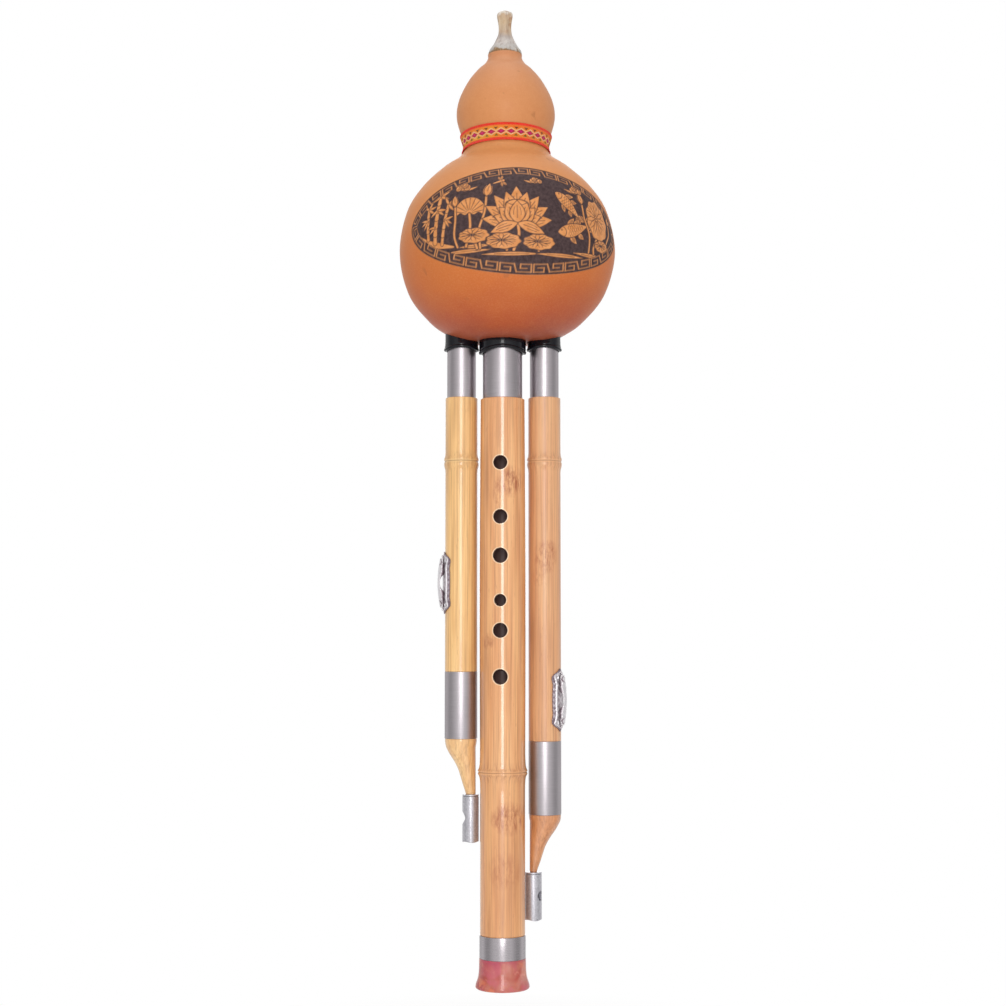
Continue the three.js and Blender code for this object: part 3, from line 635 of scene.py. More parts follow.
def pond_picture(u, v):
    """A lotus pond with fish, bamboo and clouds: how light each point is left."""
    art = Engraving(u, v)
    for start, length, low in (
        (-38, 22, -15.2), (-20, 26, -16.8), (4, 24, -16.4), (22, 22, -14.4), (-30, 14, -13.2),
    ):
        art.paint(art.leaf((start, low), 0, length, 0.75, 1, 0.4), 0.3)
        art.cut(art.vein((start, low), 0, length, 0.4, 0.1, 0.2, 0.8))
    art.paint(art.curve([(-53, -5.5), (-47, -9.2), (-40, -11.4), (-33, -12.6)], [0.3, 1.3, 1.2, 0.3]))
    for motif, *values in (
        (stalk, (-46.5, -8), (-47.5, 6), 0.75, 4), (stalk, (-42.6, -10), (-41.4, 11.5), 0.95, 6),
        (stalk, (-38.8, -11), (-36.2, 7), 0.7, 5), (leaves, (-47.5, 6), 4.6, (60, 8, -35, 150)),
        (leaves, (-47, 0.5), 4.4, (200, 235, 170)), (leaves, (-41.4, 11.5), 5, (20, -22, 165, 205)),
        (leaves, (-41.9, 5), 4.8, (-40, -8, 215)), (leaves, (-36.2, 7), 4.6, (35, -10, 120, -50)),
        (leaves, (-37.3, 0), 4.2, (-35, -62, 10)), (leaves, (-42.4, -3), 4, (215, 180)),
        (side_leaf, (-25.5, 1.5), 7.6, 8.4, [(-25, -5), (-27, -13)]),
        (bud, (-18.2, 9.5), 6.5, 78, [(-18.6, 2), (-21, -6), (-20.6, -14)]),
        (round_leaf, (-23.5, -8.5), 6.6, 3.1, 10, [(-23, -11), (-22, -14)]),
        (bud, (-32.6, 5.5), 5.2, 100, [(-32, -1), (-32.4, -8), (-31, -13)]),
        (lotus, (-4.5, -3.5), 15.2, [(-4, -9), (-6, -15)]),
        (round_leaf, (-10.5, -11.2), 7.2, 3.3, 11, [(-9, -13), (-9, -15)]),
        (round_leaf, (5, -11.4), 6.8, 3.2, 11, [(5, -13), (5, -15)]),
        (carp, (14.2, 12.4), -36, 15, -2.6), (carp, (13.6, -6.2), 8, 16.5, 2.4),
        (round_leaf, (38, 2.4), 7.6, 9.2, 13, [(37, -4), (34, -10), (34.5, -13)]),
        (bud, (28.6, 8.8), 5.6, 96, [(28.4, 2), (30.6, -5), (31, -13)]),
        (bud, (48.6, 2.4), 4.6, 70, [(48, -2), (45, -6), (43, -9.5)]),
        (round_leaf, (40, -9), 5.2, 2.4, 9, [(40, -10), (40, -11)]), (cloud, (-30, 14.6), 3.6, 1),
        (cloud, (27, 15.2), 3.6, -1), (cloud, (5.5, 18), 3, -1), (dragonfly, (-11.5, 17.2), 3.4, 20),
    ):
        motif(art, *values)
    return art.light


def fret_cover(u, v):
    """The key fret that runs round the panel: linked pairs of square spirals, engraved as lines."""
    points, run = border_outline(2400)
    starts, steps = points[:-1], np.diff(points, axis=0)
    lengths = np.maximum((steps**2).sum(1), 1e-9)
    along, away = np.empty_like(u), np.empty_like(u)
    batch = 3000
    for low in range(0, len(u), batch):
        some = slice(low, low + batch)
        du, dv = u[some, None] - starts[:, 0], v[some, None] - starts[:, 1]
        t = np.clip((du * steps[:, 0] + dv * steps[:, 1]) / lengths, 0, 1)
        gap = np.hypot(du - t * steps[:, 0], dv - t * steps[:, 1])
        near = gap.argmin(1)
        rows = np.arange(len(near))
        away[some] = gap[rows, near]
        along[some] = run[near] + t[rows, near] * np.sqrt(lengths[near])
    pair = run[-1] / fret_count
    unit_along, unit_up = pair / 16, fret_width / 4
    x = along % pair
    y = away - fret_edge - fret_line / 2
    spiral = [
        (2.4, 2.2), (5.4, 2.2), (5.4, 0), (0.4, 0), (0.4, 4), (7, 4), (8.2, 0),
        (15.2, 0), (15.2, 4), (10, 4), (10, 1.9), (13.2, 1.9),
    ]
    art = Engraving(x, y)
    path = [(a * unit_along, b * unit_up) for a, b in spiral]
    cover = 0.5 * art.cover(art.line(path, fret_line / 2))
    for start, end in zip(path, path[1:]):
        if abs(end[1] - start[1]) > abs(end[0] - start[0]):
            cover = np.maximum(cover, 0.95 * art.cover(art.line([start, end], fret_line / 2)))
    return cover


def panel_burn(places):
    """How dark each point of the gourd is burnt, and whether it is in the panel, from 0 to 1."""
    x, y, z = places.T
    x = x - lean_at(z)
    turn = np.arctan2(x, -y)
    arc = np.interp(z, gourd_curve[:, 1], gourd_arc)
    outer = np.hypot(x, y) > gourd_radius_at(z) - 0.5 * gourd_wall
    u, v = (turn - panel_turn) * panel_radius, arc - panel_arc
    depth = np.where(outer & (np.abs(turn - panel_turn) < 2), border_depth(u, v), far_out)
    inside = depth > -0.5
    u, v, depth = u[inside], v[inside], depth[inside]
    frame_end = fret_edge + fret_width + fret_line
    light = np.where(depth > frame_end + 0.3, pond_picture(u, v), 0)
    near = depth < frame_end + 1
    fret = np.zeros_like(u)
    fret[near] = fret_cover(u[near], v[near])
    burn = np.zeros(len(places))
    mask = np.clip(0.5 + depth / 0.35, 0, 1)
    burn[inside] = mask * (1 - light) * (1 - 0.85 * fret)
    panel = np.zeros(len(places))
    panel[inside] = mask
    return burn, panel


def make_gourd():
    """The skin, finest where it is engraved, with the gourd's inside and the sleeves' holes."""
    dense, coarse, gap, stem_bore, burn_depth = 0.3, 1.3, 0.3, 4.6, 0.17
    low, high = panel_arc - panel_down - 4, panel_arc + panel_up + 4
    arcs = np.concatenate([
        np.arange(0, low, coarse), np.arange(low, high, dense), np.arange(high, gourd_arc[-1], coarse),
        gourd_arc[-1:],
    ])
    radius, height = (np.interp(arcs, gourd_arc, values) for values in gourd_curve.T)
    inner_arcs = np.linspace(gourd_arc[-1] - 12, 6, 70)
    slope = np.gradient(gourd_curve, gourd_arc + np.arange(len(gourd_arc)) * 1e-9, axis=0)
    inside = gourd_curve + gourd_wall * np.stack([-slope[:, 1], slope[:, 0]], 1)
    inner_radius, inner_height = (np.interp(inner_arcs, gourd_arc, values) for values in inside.T)
    all_radius = np.concatenate([radius, [5.3, stem_bore], np.maximum(inner_radius, stem_bore)])
    all_height = np.concatenate([height, [gourd_top - 0.1, gourd_top - 0.8], inner_height])
    half_turn = radians(80)
    fine = np.arange(-half_turn, half_turn, dense / panel_radius)
    rest = np.arange(half_turn, full_turn - half_turn - 0.02, radians(3))
    turn = np.concatenate([fine, rest]) + panel_turn - quarter
    all_radius, all_height = all_radius[:, None], all_height[:, None]
    gourd = shape("gourd", (spun(all_radius, turn, lean_at(all_height), 0, all_height), False))
    carve(gourd, [
        upright_rod(neck + gap, gourd_bottom - 2, gourd_bottom + rise, centre)
        for neck, rise, centre in (
            (main_neck, main_rise, main_centre), (drone_neck, drone_rise, left_centre),
            (drone_neck, drone_rise, right_centre),
        )
    ])
    places = verts_of(gourd)
    burn, panel = panel_burn(places)
    inward = places.copy()
    inward[:, 0] -= lean_at(places[:, 2])
    inward[:, 2] -= section_heights[1]
    inward /= -np.linalg.norm(inward, axis=1)[:, None]
    set_verts(gourd, places + inward * burn_depth * burn[:, None])
    set_attribute(gourd, "burn", burn)
    set_attribute(gourd, "panel", panel)
    return gourd


def make_stem():
    """The dried stem: a ribbed foot, a waist and a worn lip round its bore."""
    foot_radius, length, bore, plug, plug_foot, sides = 7.75, 20.4, 1.7, 4.2, gourd_top - 8, 120
    foot, top = gourd_top + 0.02, gourd_top + length
    shares = [
        (0, 1), (0.05, 0.98), (0.11, 0.92), (0.17, 0.8), (0.23, 0.69), (0.29, 0.6), (0.345, 0.535),
        (0.46, 0.415), (0.55, 0.38), (0.63, 0.37), (0.73, 0.39), (0.82, 0.43), (0.9, 0.46),
        (0.945, 0.45), (0.975, 0.4), (0.995, 0.32),
    ]
    outside = smooth_curve([(foot_radius * w, gourd_top + length * h) for h, w in shares], 8)
    outline = np.concatenate([
        [(bore, plug_foot), (plug, plug_foot), (plug, foot), (foot_radius - 0.5, foot)], outside[1:-1],
        [(2.3, top - 0.03), (bore + 0.2, top - 0.2), (bore, top - 0.7)],
    ])
    turn = around(sides)
    rise = np.clip((outline[:, 1:] - gourd_top) / length, 0, 1)
    ridges = 0.03 * np.cos(5 * turn + 2 * rise) + 0.016 * np.cos(9 * turn - 3 * rise)
    ridges += 0.012 * np.cos(21 * turn + 5 * rise) * (1 - rise)
    worn = (outline[:, 1:] > gourd_top) * np.minimum(1, 4 * rise) * (outline[:, :1] > 2.2)
    rings = lathe(outline, sides, (lean_at(gourd_top), 0), outline[:, :1] * ridges * worn)
    return shape("stem", (rings, True))


ribbon_width, ribbon_tilt = 7.3, 0.057
ribbon_middle = section_heights[2] + 1.9


def make_ribbon():
    """A woven band round the waist, leaning a little to one side."""
    thickness, gap, hem, steps, sides = 0.5, 0.3, 0.12, 40, 240
    heights = np.linspace(ribbon_middle - ribbon_width / 2, ribbon_middle + ribbon_width / 2, steps)
    swell = 0.05 * np.cos(np.linspace(-1, 1, steps) * pi * 6)
    inner = np.stack([gourd_radius_at(heights) + gap, heights], 1)
    outer = np.stack([inner[:, 0] + thickness + swell, heights], 1)[::-1]
    top = [[(inner[-1, 0] + outer[0, 0]) / 2, heights[-1] + hem]]
    foot = [[(inner[0, 0] + outer[-1, 0]) / 2, heights[0] - hem]]
    outline = np.concatenate([inner, top, outer, foot])
    turn = around(sides)
    height = outline[:, 1:] - ribbon_tilt * 20.5 * np.sin(turn)
    reach = outline[:, :1] + gourd_radius_at(height) - gourd_radius_at(outline[:, 1:])
    return shape("ribbon", (spun(reach, turn, lean_at(height), 0, height), True))


def make_sleeve(name, lip, collar, neck, bore, drop, rise, cope, centre):
    """A black socket with a rolled lip, which rises a little at the front and back by its cope."""
    low, edge, sides = gourd_bottom - drop, 0.8, 128
    turns = np.radians(np.linspace(-90, 55, 12))
    roll = [(lip - edge + edge * cos(t), low + edge + edge * sin(t)) for t in turns]
    flare = smooth_curve([roll[-1], ((lip + collar) / 2 - 0.1, low + 2), (collar, low + 3.2)], 6)
    outline = np.concatenate([
        [(bore, low + 0.2), (bore + 0.2, low)], roll, flare[1:],
        [(collar, gourd_bottom - 0.1), (neck, gourd_bottom + 0.2)],
        [(neck, gourd_bottom + rise), (bore, gourd_bottom + rise)],
    ])
    rings = lathe(outline, sides, centre)
    rings[..., 2] += cope * np.sin(around(sides)) ** 2 * (outline[:, 1:] < gourd_bottom - 0.2)
    return shape(name, (rings, True))


def make_pipe(name, outer, inner, low, high, centre):
    rings = lathe(rounded(tube_outline(inner, outer, low, high), 0.2), 128, centre)
    return shape(name, (rings, True))


def hole_cutter(radius, direction, centre, height, skin):
    """A rod that leaves a small rounded rim where it meets a pipe's skin."""
    reaches = (0, radius), (skin - 0.55, radius), (skin - 0.1, radius + 0.14), (skin + 2, radius + 1.6)
    return cross_rod(reaches, direction, centre, height, 56)


front_turn = -quarter - radians(6)
finger_holes = [
    (ring_top + bamboo_length * share, 3.33 * size)
    for share, size in zip((0.477, 0.563, 0.619, 0.7025, 0.775, 0.8765), (1, 0.98, 0.8, 1, 0.95, 0.95))
]


def make_main_bamboo():
    """The melody pipe, with its tenons, its swollen joint and all its holes."""
    low, mid, top, node, sides = 10, 10.3, 9.95, 11.05, 144
    swell = [
        (-8, 0), (-6, 0.04), (-4.4, 0.1), (-3, 0.22), (-2, 0.42), (-1.35, 0.72), (-0.9, 0.95), (-0.6, 1),
        (-0.35, 0.9), (-0.12, 0.72), (0.1, 0.72), (0.35, 0.92), (0.6, 1), (0.9, 0.93), (1.4, 0.7),
        (2.1, 0.46), (3.2, 0.3), (4.8, 0.2), (8, 0.1),
    ]
    joint = smooth_curve([(low + (node - low) * s, joint_height + z) for z, s in swell], 3)
    upper = smooth_curve([joint[-1], (mid, (joint_height + shoulder) / 2), (top, shoulder)], 40)
    lower = [(low, z) for z in np.linspace(ring_top + 0.5, joint_height - 10, 40)]
    foot, tube_tenon, end = ring_top - 5.2, 7.95, shoulder + tube_lap
    outline = np.concatenate([
        [(main_bore, foot), (spigot, foot), (spigot, ring_top)],
        [(low - 0.25, ring_top), (low, ring_top + 0.25)], lower, joint, upper[1:-1],
        [(top, shoulder - 0.25), (top - 0.25, shoulder), (tube_tenon, shoulder)],
        [(tube_tenon, end), (main_bore, end)],
    ])
    turn = around(sides)
    wave = 0.05 * np.cos(2 * turn + 0.6) + 0.03 * np.cos(3 * turn)
    rings = lathe(outline, sides, main_centre, (outline[:, :1] > 9.6) * wave)
    bamboo = shape("main_bamboo_skin", (rings, True))
    cutters = [hole_cutter(radius, front_turn, main_centre, height, 10.25) for height, radius in finger_holes]
    for radius, share in ((3.1, 0.955), (1.9, 0.12), (1.9, 0.175)):
        cutters.append(hole_cutter(radius, quarter, main_centre, ring_top + bamboo_length * share, 10))
    return carve(bamboo, cutters)


def make_bell():
    """The polished bell: a flat rim, a flare, and a spigot that the ring takes."""
    rim, edge, top, mouth, cup = 12.05, 1, 10.38, 7.8, 2.5

    def round_edge(radius, size, steps):
        turns = np.linspace(0, quarter, steps)
        return [(radius - size * (1 - sin(t)), abs(size) * (1 - cos(t))) for t in turns]

    flare = smooth_curve([
        (rim, edge), (11.8, 2.3), (11.3, 3.7), (10.85, 5.2), (10.6, 7), (10.45, 9.4), (10.4, 12),
        (top, ring_foot),
    ], 6)
    outline = np.concatenate([
        [(mouth, cup)], round_edge(mouth, -0.9, 6)[::-1], round_edge(rim, edge, 9), flare[1:-1],
        [(top, ring_foot - 0.15), (top - 0.15, ring_foot), (spigot, ring_foot), (spigot, ring_foot + 4.5)],
        [(main_bore, ring_foot + 4.5), (main_bore, cup)],
    ])
    return shape("bell", (lathe(outline, 144), True))


# Drone pipes, each with its own sizes. Outward is away from the melody pipe

class Drone:
    def __init__(self, name, outward, offset, foot_rise, ferrule, spout, nozzle, reach, share, degrees):
        self.name, self.outward = name, outward
        self.centre = (outward * offset, drone_back)
        self.valve_foot = ring_top + foot_rise
        self.valve_top = self.valve_foot + valve_length + 0.3 + valve_head
        self.spout_foot = self.valve_top + 0.3
        self.ferrule_foot = self.spout_foot + spout
        self.ferrule_top = self.ferrule_foot + ferrule
        self.spout, self.nozzle, self.reach = spout, nozzle, reach
        self.valve_centre = (outward * (offset - reach + nozzle), drone_back)
        self.turn = radians(degrees)
        low, high = self.ferrule_top + handle_length / 2, node_height - 5 - handle_length / 2
        self.handle_height = low + (high - low) * share
        self.body = name + "_drone"

    def world(self, local, turned=True):
        """Points about the drone's axis, X outward, put in place."""
        x, y, z = np.moveaxis(np.asarray(local, float), -1, 0)
        c, s = (cos(self.turn), sin(self.turn)) if turned else (1, 0)
        x, y = x * c - y * s, x * s + y * c
        return np.stack([self.centre[0] + self.outward * x, self.centre[1] + self.outward * y, z], -1)


node_height = drone_top - 29
handle_length = 28
pin_reach = 0.33 * handle_length
valve_length, valve_head = 20, 0.8
ferrule_radius = 7.35
left = Drone("left", -1, 18.7, 40.3, 29.9, 24.5, 2.3, 6.7, 0.418, 14)
right = Drone("right", 1, 19, 5.9, 32.6, 25.2, 1.7, 6.9, 0.047, -29)


def make_drone_bamboo(drone):
    """A drone pipe, with its tenons and its joint."""
    bore, tenon, tube_tenon, sides = 4.2, ferrule_radius - 0.8, 5.65, 112
    foot, end, skin_radius = drone.ferrule_top, drone_top + tube_lap, drone_radius - 0.2
    swell = [
        (-5, 0), (-3.6, 0.18), (-2.7, 0.6), (-1.9, 0.93), (-1.1, 1), (-0.5, 0.85), (-0.15, 0.55),
        (0.15, 0.55), (0.45, 0.92), (0.9, 1), (1.5, 0.8), (2.3, 0.32), (4, 0),
    ]
    joint = [(drone_radius + 0.6 * s, node_height + z) for z, s in swell]
    plain = [(drone_radius, z) for z in np.linspace(foot + 0.5, node_height - 7, 60)]
    upper = [(drone_radius, z) for z in np.linspace(node_height + 7, drone_top - 0.5, 12)]
    outline = np.concatenate([
        [(bore, foot - 21), (tenon, foot - 21), (tenon, foot)],
        [(skin_radius, foot), (drone_radius, foot + 0.2)],
        plain, joint, upper, [(drone_radius, drone_top - 0.2), (skin_radius, drone_top)],
        [(tube_tenon, drone_top), (tube_tenon, end), (bore, end)],
    ])
    turn = around(sides)
    wave = 0.04 * np.cos(2 * turn + 1.1 * drone.outward) + 0.02 * np.cos(3 * turn)
    rings = lathe(outline, sides, drone.centre, (outline[:, :1] > 7) * wave)
    return shape(drone.name + "_bamboo_skin", (rings, True))


def make_spout(drone):
    """The end piece: round at the ferrule, it sweeps to a small nozzle that stands off the axis."""
    drops = [0, 0.09, 0.26, 0.41, 0.55, 0.67, 0.83, 0.95, 1]
    widths = [1, 0.97, 0.77, 0.53, 0.35, 0.25, 0.13, 0.03, 0]
    bore, port, tenon, top = 4.2, 1.3, ferrule_radius - 0.8, 7.2
    nozzle, foot, offset = drone.nozzle, drone.spout_foot, drone.nozzle - drone.reach
    spans = [
        (bore, 0, drone.ferrule_foot + 8), (tenon, 0, drone.ferrule_foot + 8), (tenon, 0, drone.ferrule_foot),
        (top - 0.15, 0, drone.ferrule_foot),
    ]
    for drop, width in smooth_curve(list(zip(drops, widths)), 6)[1:-1]:
        radius = nozzle + (top - nozzle) * width
        spans.append((radius, min(radius - drone.reach, 0), drone.ferrule_foot - drop * drone.spout))
    for radius, drop in ((nozzle - 0.02, 0.1), (nozzle - 0.15, 0.22), (port, 0.22)):
        spans.append((radius, offset, foot - drop))
    for drop, width in ((0.83, 0), (0.55, 0.27), (0.26, 0.7), (0, 1)):
        height = drone.ferrule_foot - drop * drone.spout
        spans.append((port + (bore - port) * width, offset * (1 - width), height))
    radius, shift, height = columns(spans)
    rings = spun(radius, around(96), shift, 0, height)
    return shape(drone.name + "_spout_skin", (drone.world(rings, turned=False), True))


def make_valve(drone):
    """The turning sleeve with its side hole, the nipple inside it, and the slotted plug at its end."""
    foot, centre, core_top = drone.valve_foot, drone.valve_centre, drone.valve_top
    core_foot = foot + 3.4
    outer, wall, axis, sides = 3.7, 0.8, 0.02, 96
    shank, collar = outer - wall - 0.3, core_top - valve_head
    outline = rounded(tube_outline(outer - wall, outer, foot, foot + valve_length + 0.2), 0.25, 4)
    rings = lathe(outline, sides, centre)
    lip = np.clip((foot + 1 - outline[:, 1]), 0, 1)[:, None]
    rings[..., 2] += lip * 0.22 * np.cos(3 * around(sides) + 0.8)
    sleeve = shape(drone.name + "_valve_shell", (rings, True))
    port = foot + valve_length * (1 - 0.468)
    direction, hole = (radians(-25), 2.2) if drone.outward > 0 else (pi, 2.8)
    carve(sleeve, [hole_cutter(hole, direction, centre, port, outer)])

    def solid(name, outline, steps):
        outline = np.maximum(rounded(outline, 0.25, steps), [axis, 0])
        return shape(drone.name + name, (lathe(outline, 80, centre), True))

    core = solid("_valve_nipple", [
        (axis, core_foot), (shank, core_foot), (shank, collar), (outer, collar), (outer, core_top),
        (1, core_top), (1, core_top + 4), (axis, core_top + 4),
    ], 4)
    carve(core, [
        cross_rod(((0, 1.3), (outer + 1, 1.3)), direction, centre, port, 32),
        upright_rod(1.4, core_foot + 2.6, collar, centre, 32),
    ])
    plug = solid("_valve_screw", tube_outline(axis, shank, foot + 0.3, foot + 2.9), 3)
    corners = np.array([(-4, -0.4, 0), (4, -0.4, 0), (4, 0.4, 0), (-4, 0.4, 0)]) + [*centre, foot + 0.3]
    carve(plug, [shape("cutter", ([corners - [0, 0, 1], corners + [0, 0, 1]], False))])
    return sleeve, core, plug


# Cast handles: a plate curved round the pipe, and a bow that stands off it

plate_inner = drone_radius + 0.3
plate_outer = plate_inner + 0.8
bow_base = plate_outer + 0.3
bow_rise, slot_reach = 1.3, 3.6


def bead(x, y, z, radius):
    tilt = np.linspace(-1.35, 1.35, 7)[:, None]
    return spun(radius * np.cos(tilt), around(10), x, y, z + radius * np.sin(tilt))


def make_plate(drone):
    """A plate curved round the pipe: a beaded edge, a ridge, a chevron middle and scrolled lobes."""
    heights = [0, 0.045, 0.09, 0.14, 0.2, 0.27, 0.35, 0.5, 0.65, 0.73, 0.8, 0.86, 0.91, 0.955, 1]
    widths = [0.06, 0.34, 0.76, 1, 0.97, 0.9, 0.93, 0.95, 0.93, 0.9, 0.97, 1, 0.76, 0.34, 0.06]
    fine = smooth_curve(list(zip(heights, widths)), 10)
    middle = handle_length * (fine[:, 0] - 0.5)
    scallop = 1 + 0.03 * np.abs(np.cos(pi * middle / 1.5)) * (fine[:, 1] > 0.5)
    half = (5.5 * np.clip(fine[:, 1], 0.06, 1) * scallop)[:, None]
    a, m = np.meshgrid(np.linspace(-1, 1, 61), middle)
    y, up = a * half, np.abs(m)
    d = half * (1 - np.abs(a))
    beads = np.exp(-((d - 0.85) / 0.5) ** 2) * (0.24 + 0.14 * np.cos(full_turn * m / 2.4))
    ridge = np.exp(-((d - 2.25) / 0.62) ** 4)
    groove = 0.55 + 0.2 * np.cos(full_turn * (up - 0.9 * np.abs(y)) / 2.6)
    groove *= np.clip((d - 2.8) / 0.4, 0, 1)
    lobe = np.exp(-((up - 10.2) / 1.9) ** 2)
    away = np.abs(np.hypot(up - 10.2, np.abs(y) - 3) - 1.05)
    scroll = 0.55 * lobe * np.exp(-(away / 0.32) ** 2)
    relief = 0.34 + beads * (1 - lobe) + 0.8 * ridge * (1 - 0.6 * lobe) + 0.6 * groove + scroll
    radius = plate_inner + 0.75 * np.where(np.abs(a) > 0.985, 0.2, relief)
    turn = y / plate_outer
    front, back = (spun(reach, turn, 0, 0, m + drone.handle_height) for reach in (radius, plate_inner))
    rings = np.concatenate([front, back[:, ::-1]], 1)
    plate = shape(drone.name + "_handle_plate_cast", (drone.world(rings), False))
    carve(plate, [
        cross_rod(
            ((plate_inner - 1, 0.9), (plate_outer + 1, 0.9)), direction_of(drone), drone.centre, height, 20,
        )
        for height in pin_heights(drone)
    ])
    # The relief, low near the plate's base, darkens the silver there: painted shade in the recesses, with
    # tarnish.
    places = verts_of(plate)
    reach = np.hypot(*(places[:, :2] - drone.centre).T)
    set_attribute(plate, "relief", np.clip((reach - plate_inner - 0.2) / 0.65, 0, 1))
    return plate


def direction_of(drone):
    return drone.turn if drone.outward > 0 else drone.turn + pi


def pin_heights(drone):
    return [drone.handle_height + end * pin_reach for end in (-1, 1)]


def make_bow(drone):
    """A leaf-shaped bar over the plate, with a slot under its middle and rosettes at its ends."""
    span = 2 * (pin_reach + 1.9)
    turn = around(24)
    crown, outer = 0.5 + 0.5 * np.sin(turn), np.sin(turn) > 0
    rings = []
    for share in np.linspace(0, 1, 97):
        arch = bow_rise * sin(pi * share) ** 0.8
        m = span * (share - 0.5)
        lens = max(0, 1 - (m / slot_reach) ** 2) ** 0.7
        low = plate_outer - 0.3 + (bow_rise + 0.6) * lens
        high = bow_base + arch + 0.8
        half = 2.1 * (1 - 0.4 * abs(cos(full_turn * share))) * (1 + 0.06 * cos(full_turn * m / 1.5))
        y = half * (0.5 if share in (0, 1) else 1) * np.cos(turn)
        groove = 0.1 * np.cos(full_turn * (abs(m) + 0.9 * np.abs(y)) / 1.7) * outer
        ridge = 0.14 * np.exp(-(y / 0.35) ** 2) * outer
        x = low + (high - low) * crown + (groove + ridge) * np.sin(turn) * 0.8
        rings.append(np.stack([x, y, np.full(24, drone.handle_height + m)], 1))
    skins = [rings]
    for height in pin_heights(drone):
        skins.append(rosette(height))
        for spin in full_turn * (np.arange(8) + 0.5) / 8:
            skins.append(bead(bow_base + 0.4, 1.72 * cos(spin), height + 1.72 * sin(spin), 0.42))
    for end in (-1, 1):
        for step, reach, size in ((3.6, -0.2, 0.6), (-3.2, 0.9, 0.75)):
            height = drone.handle_height + end * (pin_reach + step * 0.75)
            skins.append(bead(bow_base + reach, 0, height, size))
    bow = shape(drone.name + "_handle_bow_cast", *((drone.world(skin), False) for skin in skins))
    places = verts_of(bow)
    x, y = (places[:, :2] - drone.centre).T
    c, s = cos(direction_of(drone)), sin(direction_of(drone))
    out, side = x * c + y * s, y * c - x * s
    m = places[:, 2] - drone.handle_height
    # The relief darkens the silver low on the bow's flanks and in the ring round each rosette: painted shade
    # in these recesses, with tarnish.
    arch = np.clip(np.cos(pi * np.clip(m / span, -0.5, 0.5)), 0, 1) ** 0.8
    spot = np.hypot(side, np.abs(m) - pin_reach)
    hollow = 0.7 * np.exp(-((spot - 1.25) / 0.35) ** 2)
    relief = 0.5 + (out - bow_base - bow_rise * arch) / 1.6 - hollow
    set_attribute(bow, "relief", np.clip(relief, 0.1, 1))
    return bow


def facing(reach, radius, height, turn):
    """Rings that face outward, each at its reach from the drone's axis."""
    return np.roll(spun(radius, turn, 0, height, reach), 1, -1)


def rosette(height):
    radius, rise = columns([
        (1.5, 0), (1.9, 0.1), (1.95, 0.3), (1.75, 0.52), (1.25, 0.5), (1.0, 0.72), (0.66, 0.85),
    ])
    turn = around(64)
    return facing(bow_base + rise, radius * (1 + 0.1 * np.cos(8 * turn) * (radius > 1.1)), height, turn)


def make_pin(drone, height, name):
    """A pin with a domed head, lying along the handle's outward direction."""
    seat = bow_base + 0.9
    reach, radius = columns([
        (drone_radius - 2, 0.6), (seat, 0.6), (seat, 0.95), (seat + 0.12, 1), (seat + 0.28, 0.86),
        (seat + 0.4, 0.45),
    ])
    return shape(name, (drone.world(facing(reach, radius, height, around(24))), False))


# Materials

def gourd_skin():
    m = Shader("gourd_skin")
    cloud, fleck, fine = m.noise(22, 3, 0.55), m.noise(420, 2), m.noise(1600, 2, 0.6)
    spots, soot = m.noise(190, 1, 0.4, shift=(3, 1, 2)), m.noise(700, 3, 0.6)
    height = m.z + m.spread(cloud, 0.3, 0.7, -0.006, 0.006)
    skin = m.ramp(
        m.spread(height, 0.288, 0.428),
        (0, (0.60, 0.27, 0.18)), (0.06, (0.675, 0.305, 0.165)), (0.16, (0.755, 0.40, 0.18)),
        (0.3, (0.785, 0.455, 0.215)), (0.48, (0.82, 0.54, 0.32)), (0.62, (0.815, 0.55, 0.33)),
        (0.76, (0.80, 0.535, 0.34)), (0.95, (0.78, 0.535, 0.375)), (1, (0.62, 0.42, 0.27)),
    )
    skin = m.layers(
        skin, (fleck, 0.35, 0.75, 0.16, (0.74, 0.43, 0.24)), (fine, 0.45, 0.8, 0.12, (0.93, 0.70, 0.47)),
        (spots, 0.72, 0.78, 0.3, (0.55, 0.33, 0.2)),
    )
    burn = m.attribute("burn")
    gold = m.mix(m.spread(fleck, 0.3, 0.7), (0.79, 0.51, 0.28), (0.855, 0.585, 0.36))
    char = m.mix(m.spread(soot, 0.35, 0.65), (0.225, 0.165, 0.17), (0.31, 0.24, 0.24))
    return m.finish(
        m.layers(skin, (m.attribute("panel"), gold), (burn, char)), m.spread(burn, 0, 1, 0.5, 0.66),
        m.bump(fine + burn * m.noise(900, 2), 0.00008, 0.5),
        coat_weight=m.spread(burn, 0, 1, 0.1, 0), coat_roughness=0.3, specular_ior_level=0.22,
    )


def dried_stem():
    m = Shader("dried_stem")
    tones_end = 19.6
    streak = m.noise(900, 3, 0.55, shift=(0.3, 0, 0), tall=0.1)
    patch, spots = m.noise(260, 3, 0.6), m.noise(420, 2, shift=(2, 0, 1))
    rise = m.spread(m.z, gourd_top * mm, (gourd_top + tones_end) * mm)
    rise = rise + m.spread(patch, 0.3, 0.7, -0.07, 0.07)
    tan = m.spread(spots, 0.56, 0.66) * m.spread(rise, 0.5, 0.75, 0, 0.6)
    colour = m.ramp(
        rise, (0.02, (0.52, 0.40, 0.26)), (0.07, (0.70, 0.68, 0.66)), (0.26, (0.76, 0.73, 0.71)),
        (0.4, (0.68, 0.63, 0.60)), (0.55, (0.72, 0.63, 0.54)), (0.8, (0.77, 0.67, 0.54)),
        (0.93, (0.74, 0.63, 0.52)), (0.985, (0.83, 0.79, 0.74)),
    )
    colour = m.layers(
        colour, (streak, 0.52, 0.68, 0.45, (0.52, 0.42, 0.36)), (streak, 0.44, 0.3, 0.4, (0.88, 0.82, 0.74)),
        (tan, (0.62, 0.42, 0.27)),
    )
    return m.finish(colour, 0.6, m.bump(streak + patch * 0.4, 0.0002, 0.6), specular_ior_level=0.4)


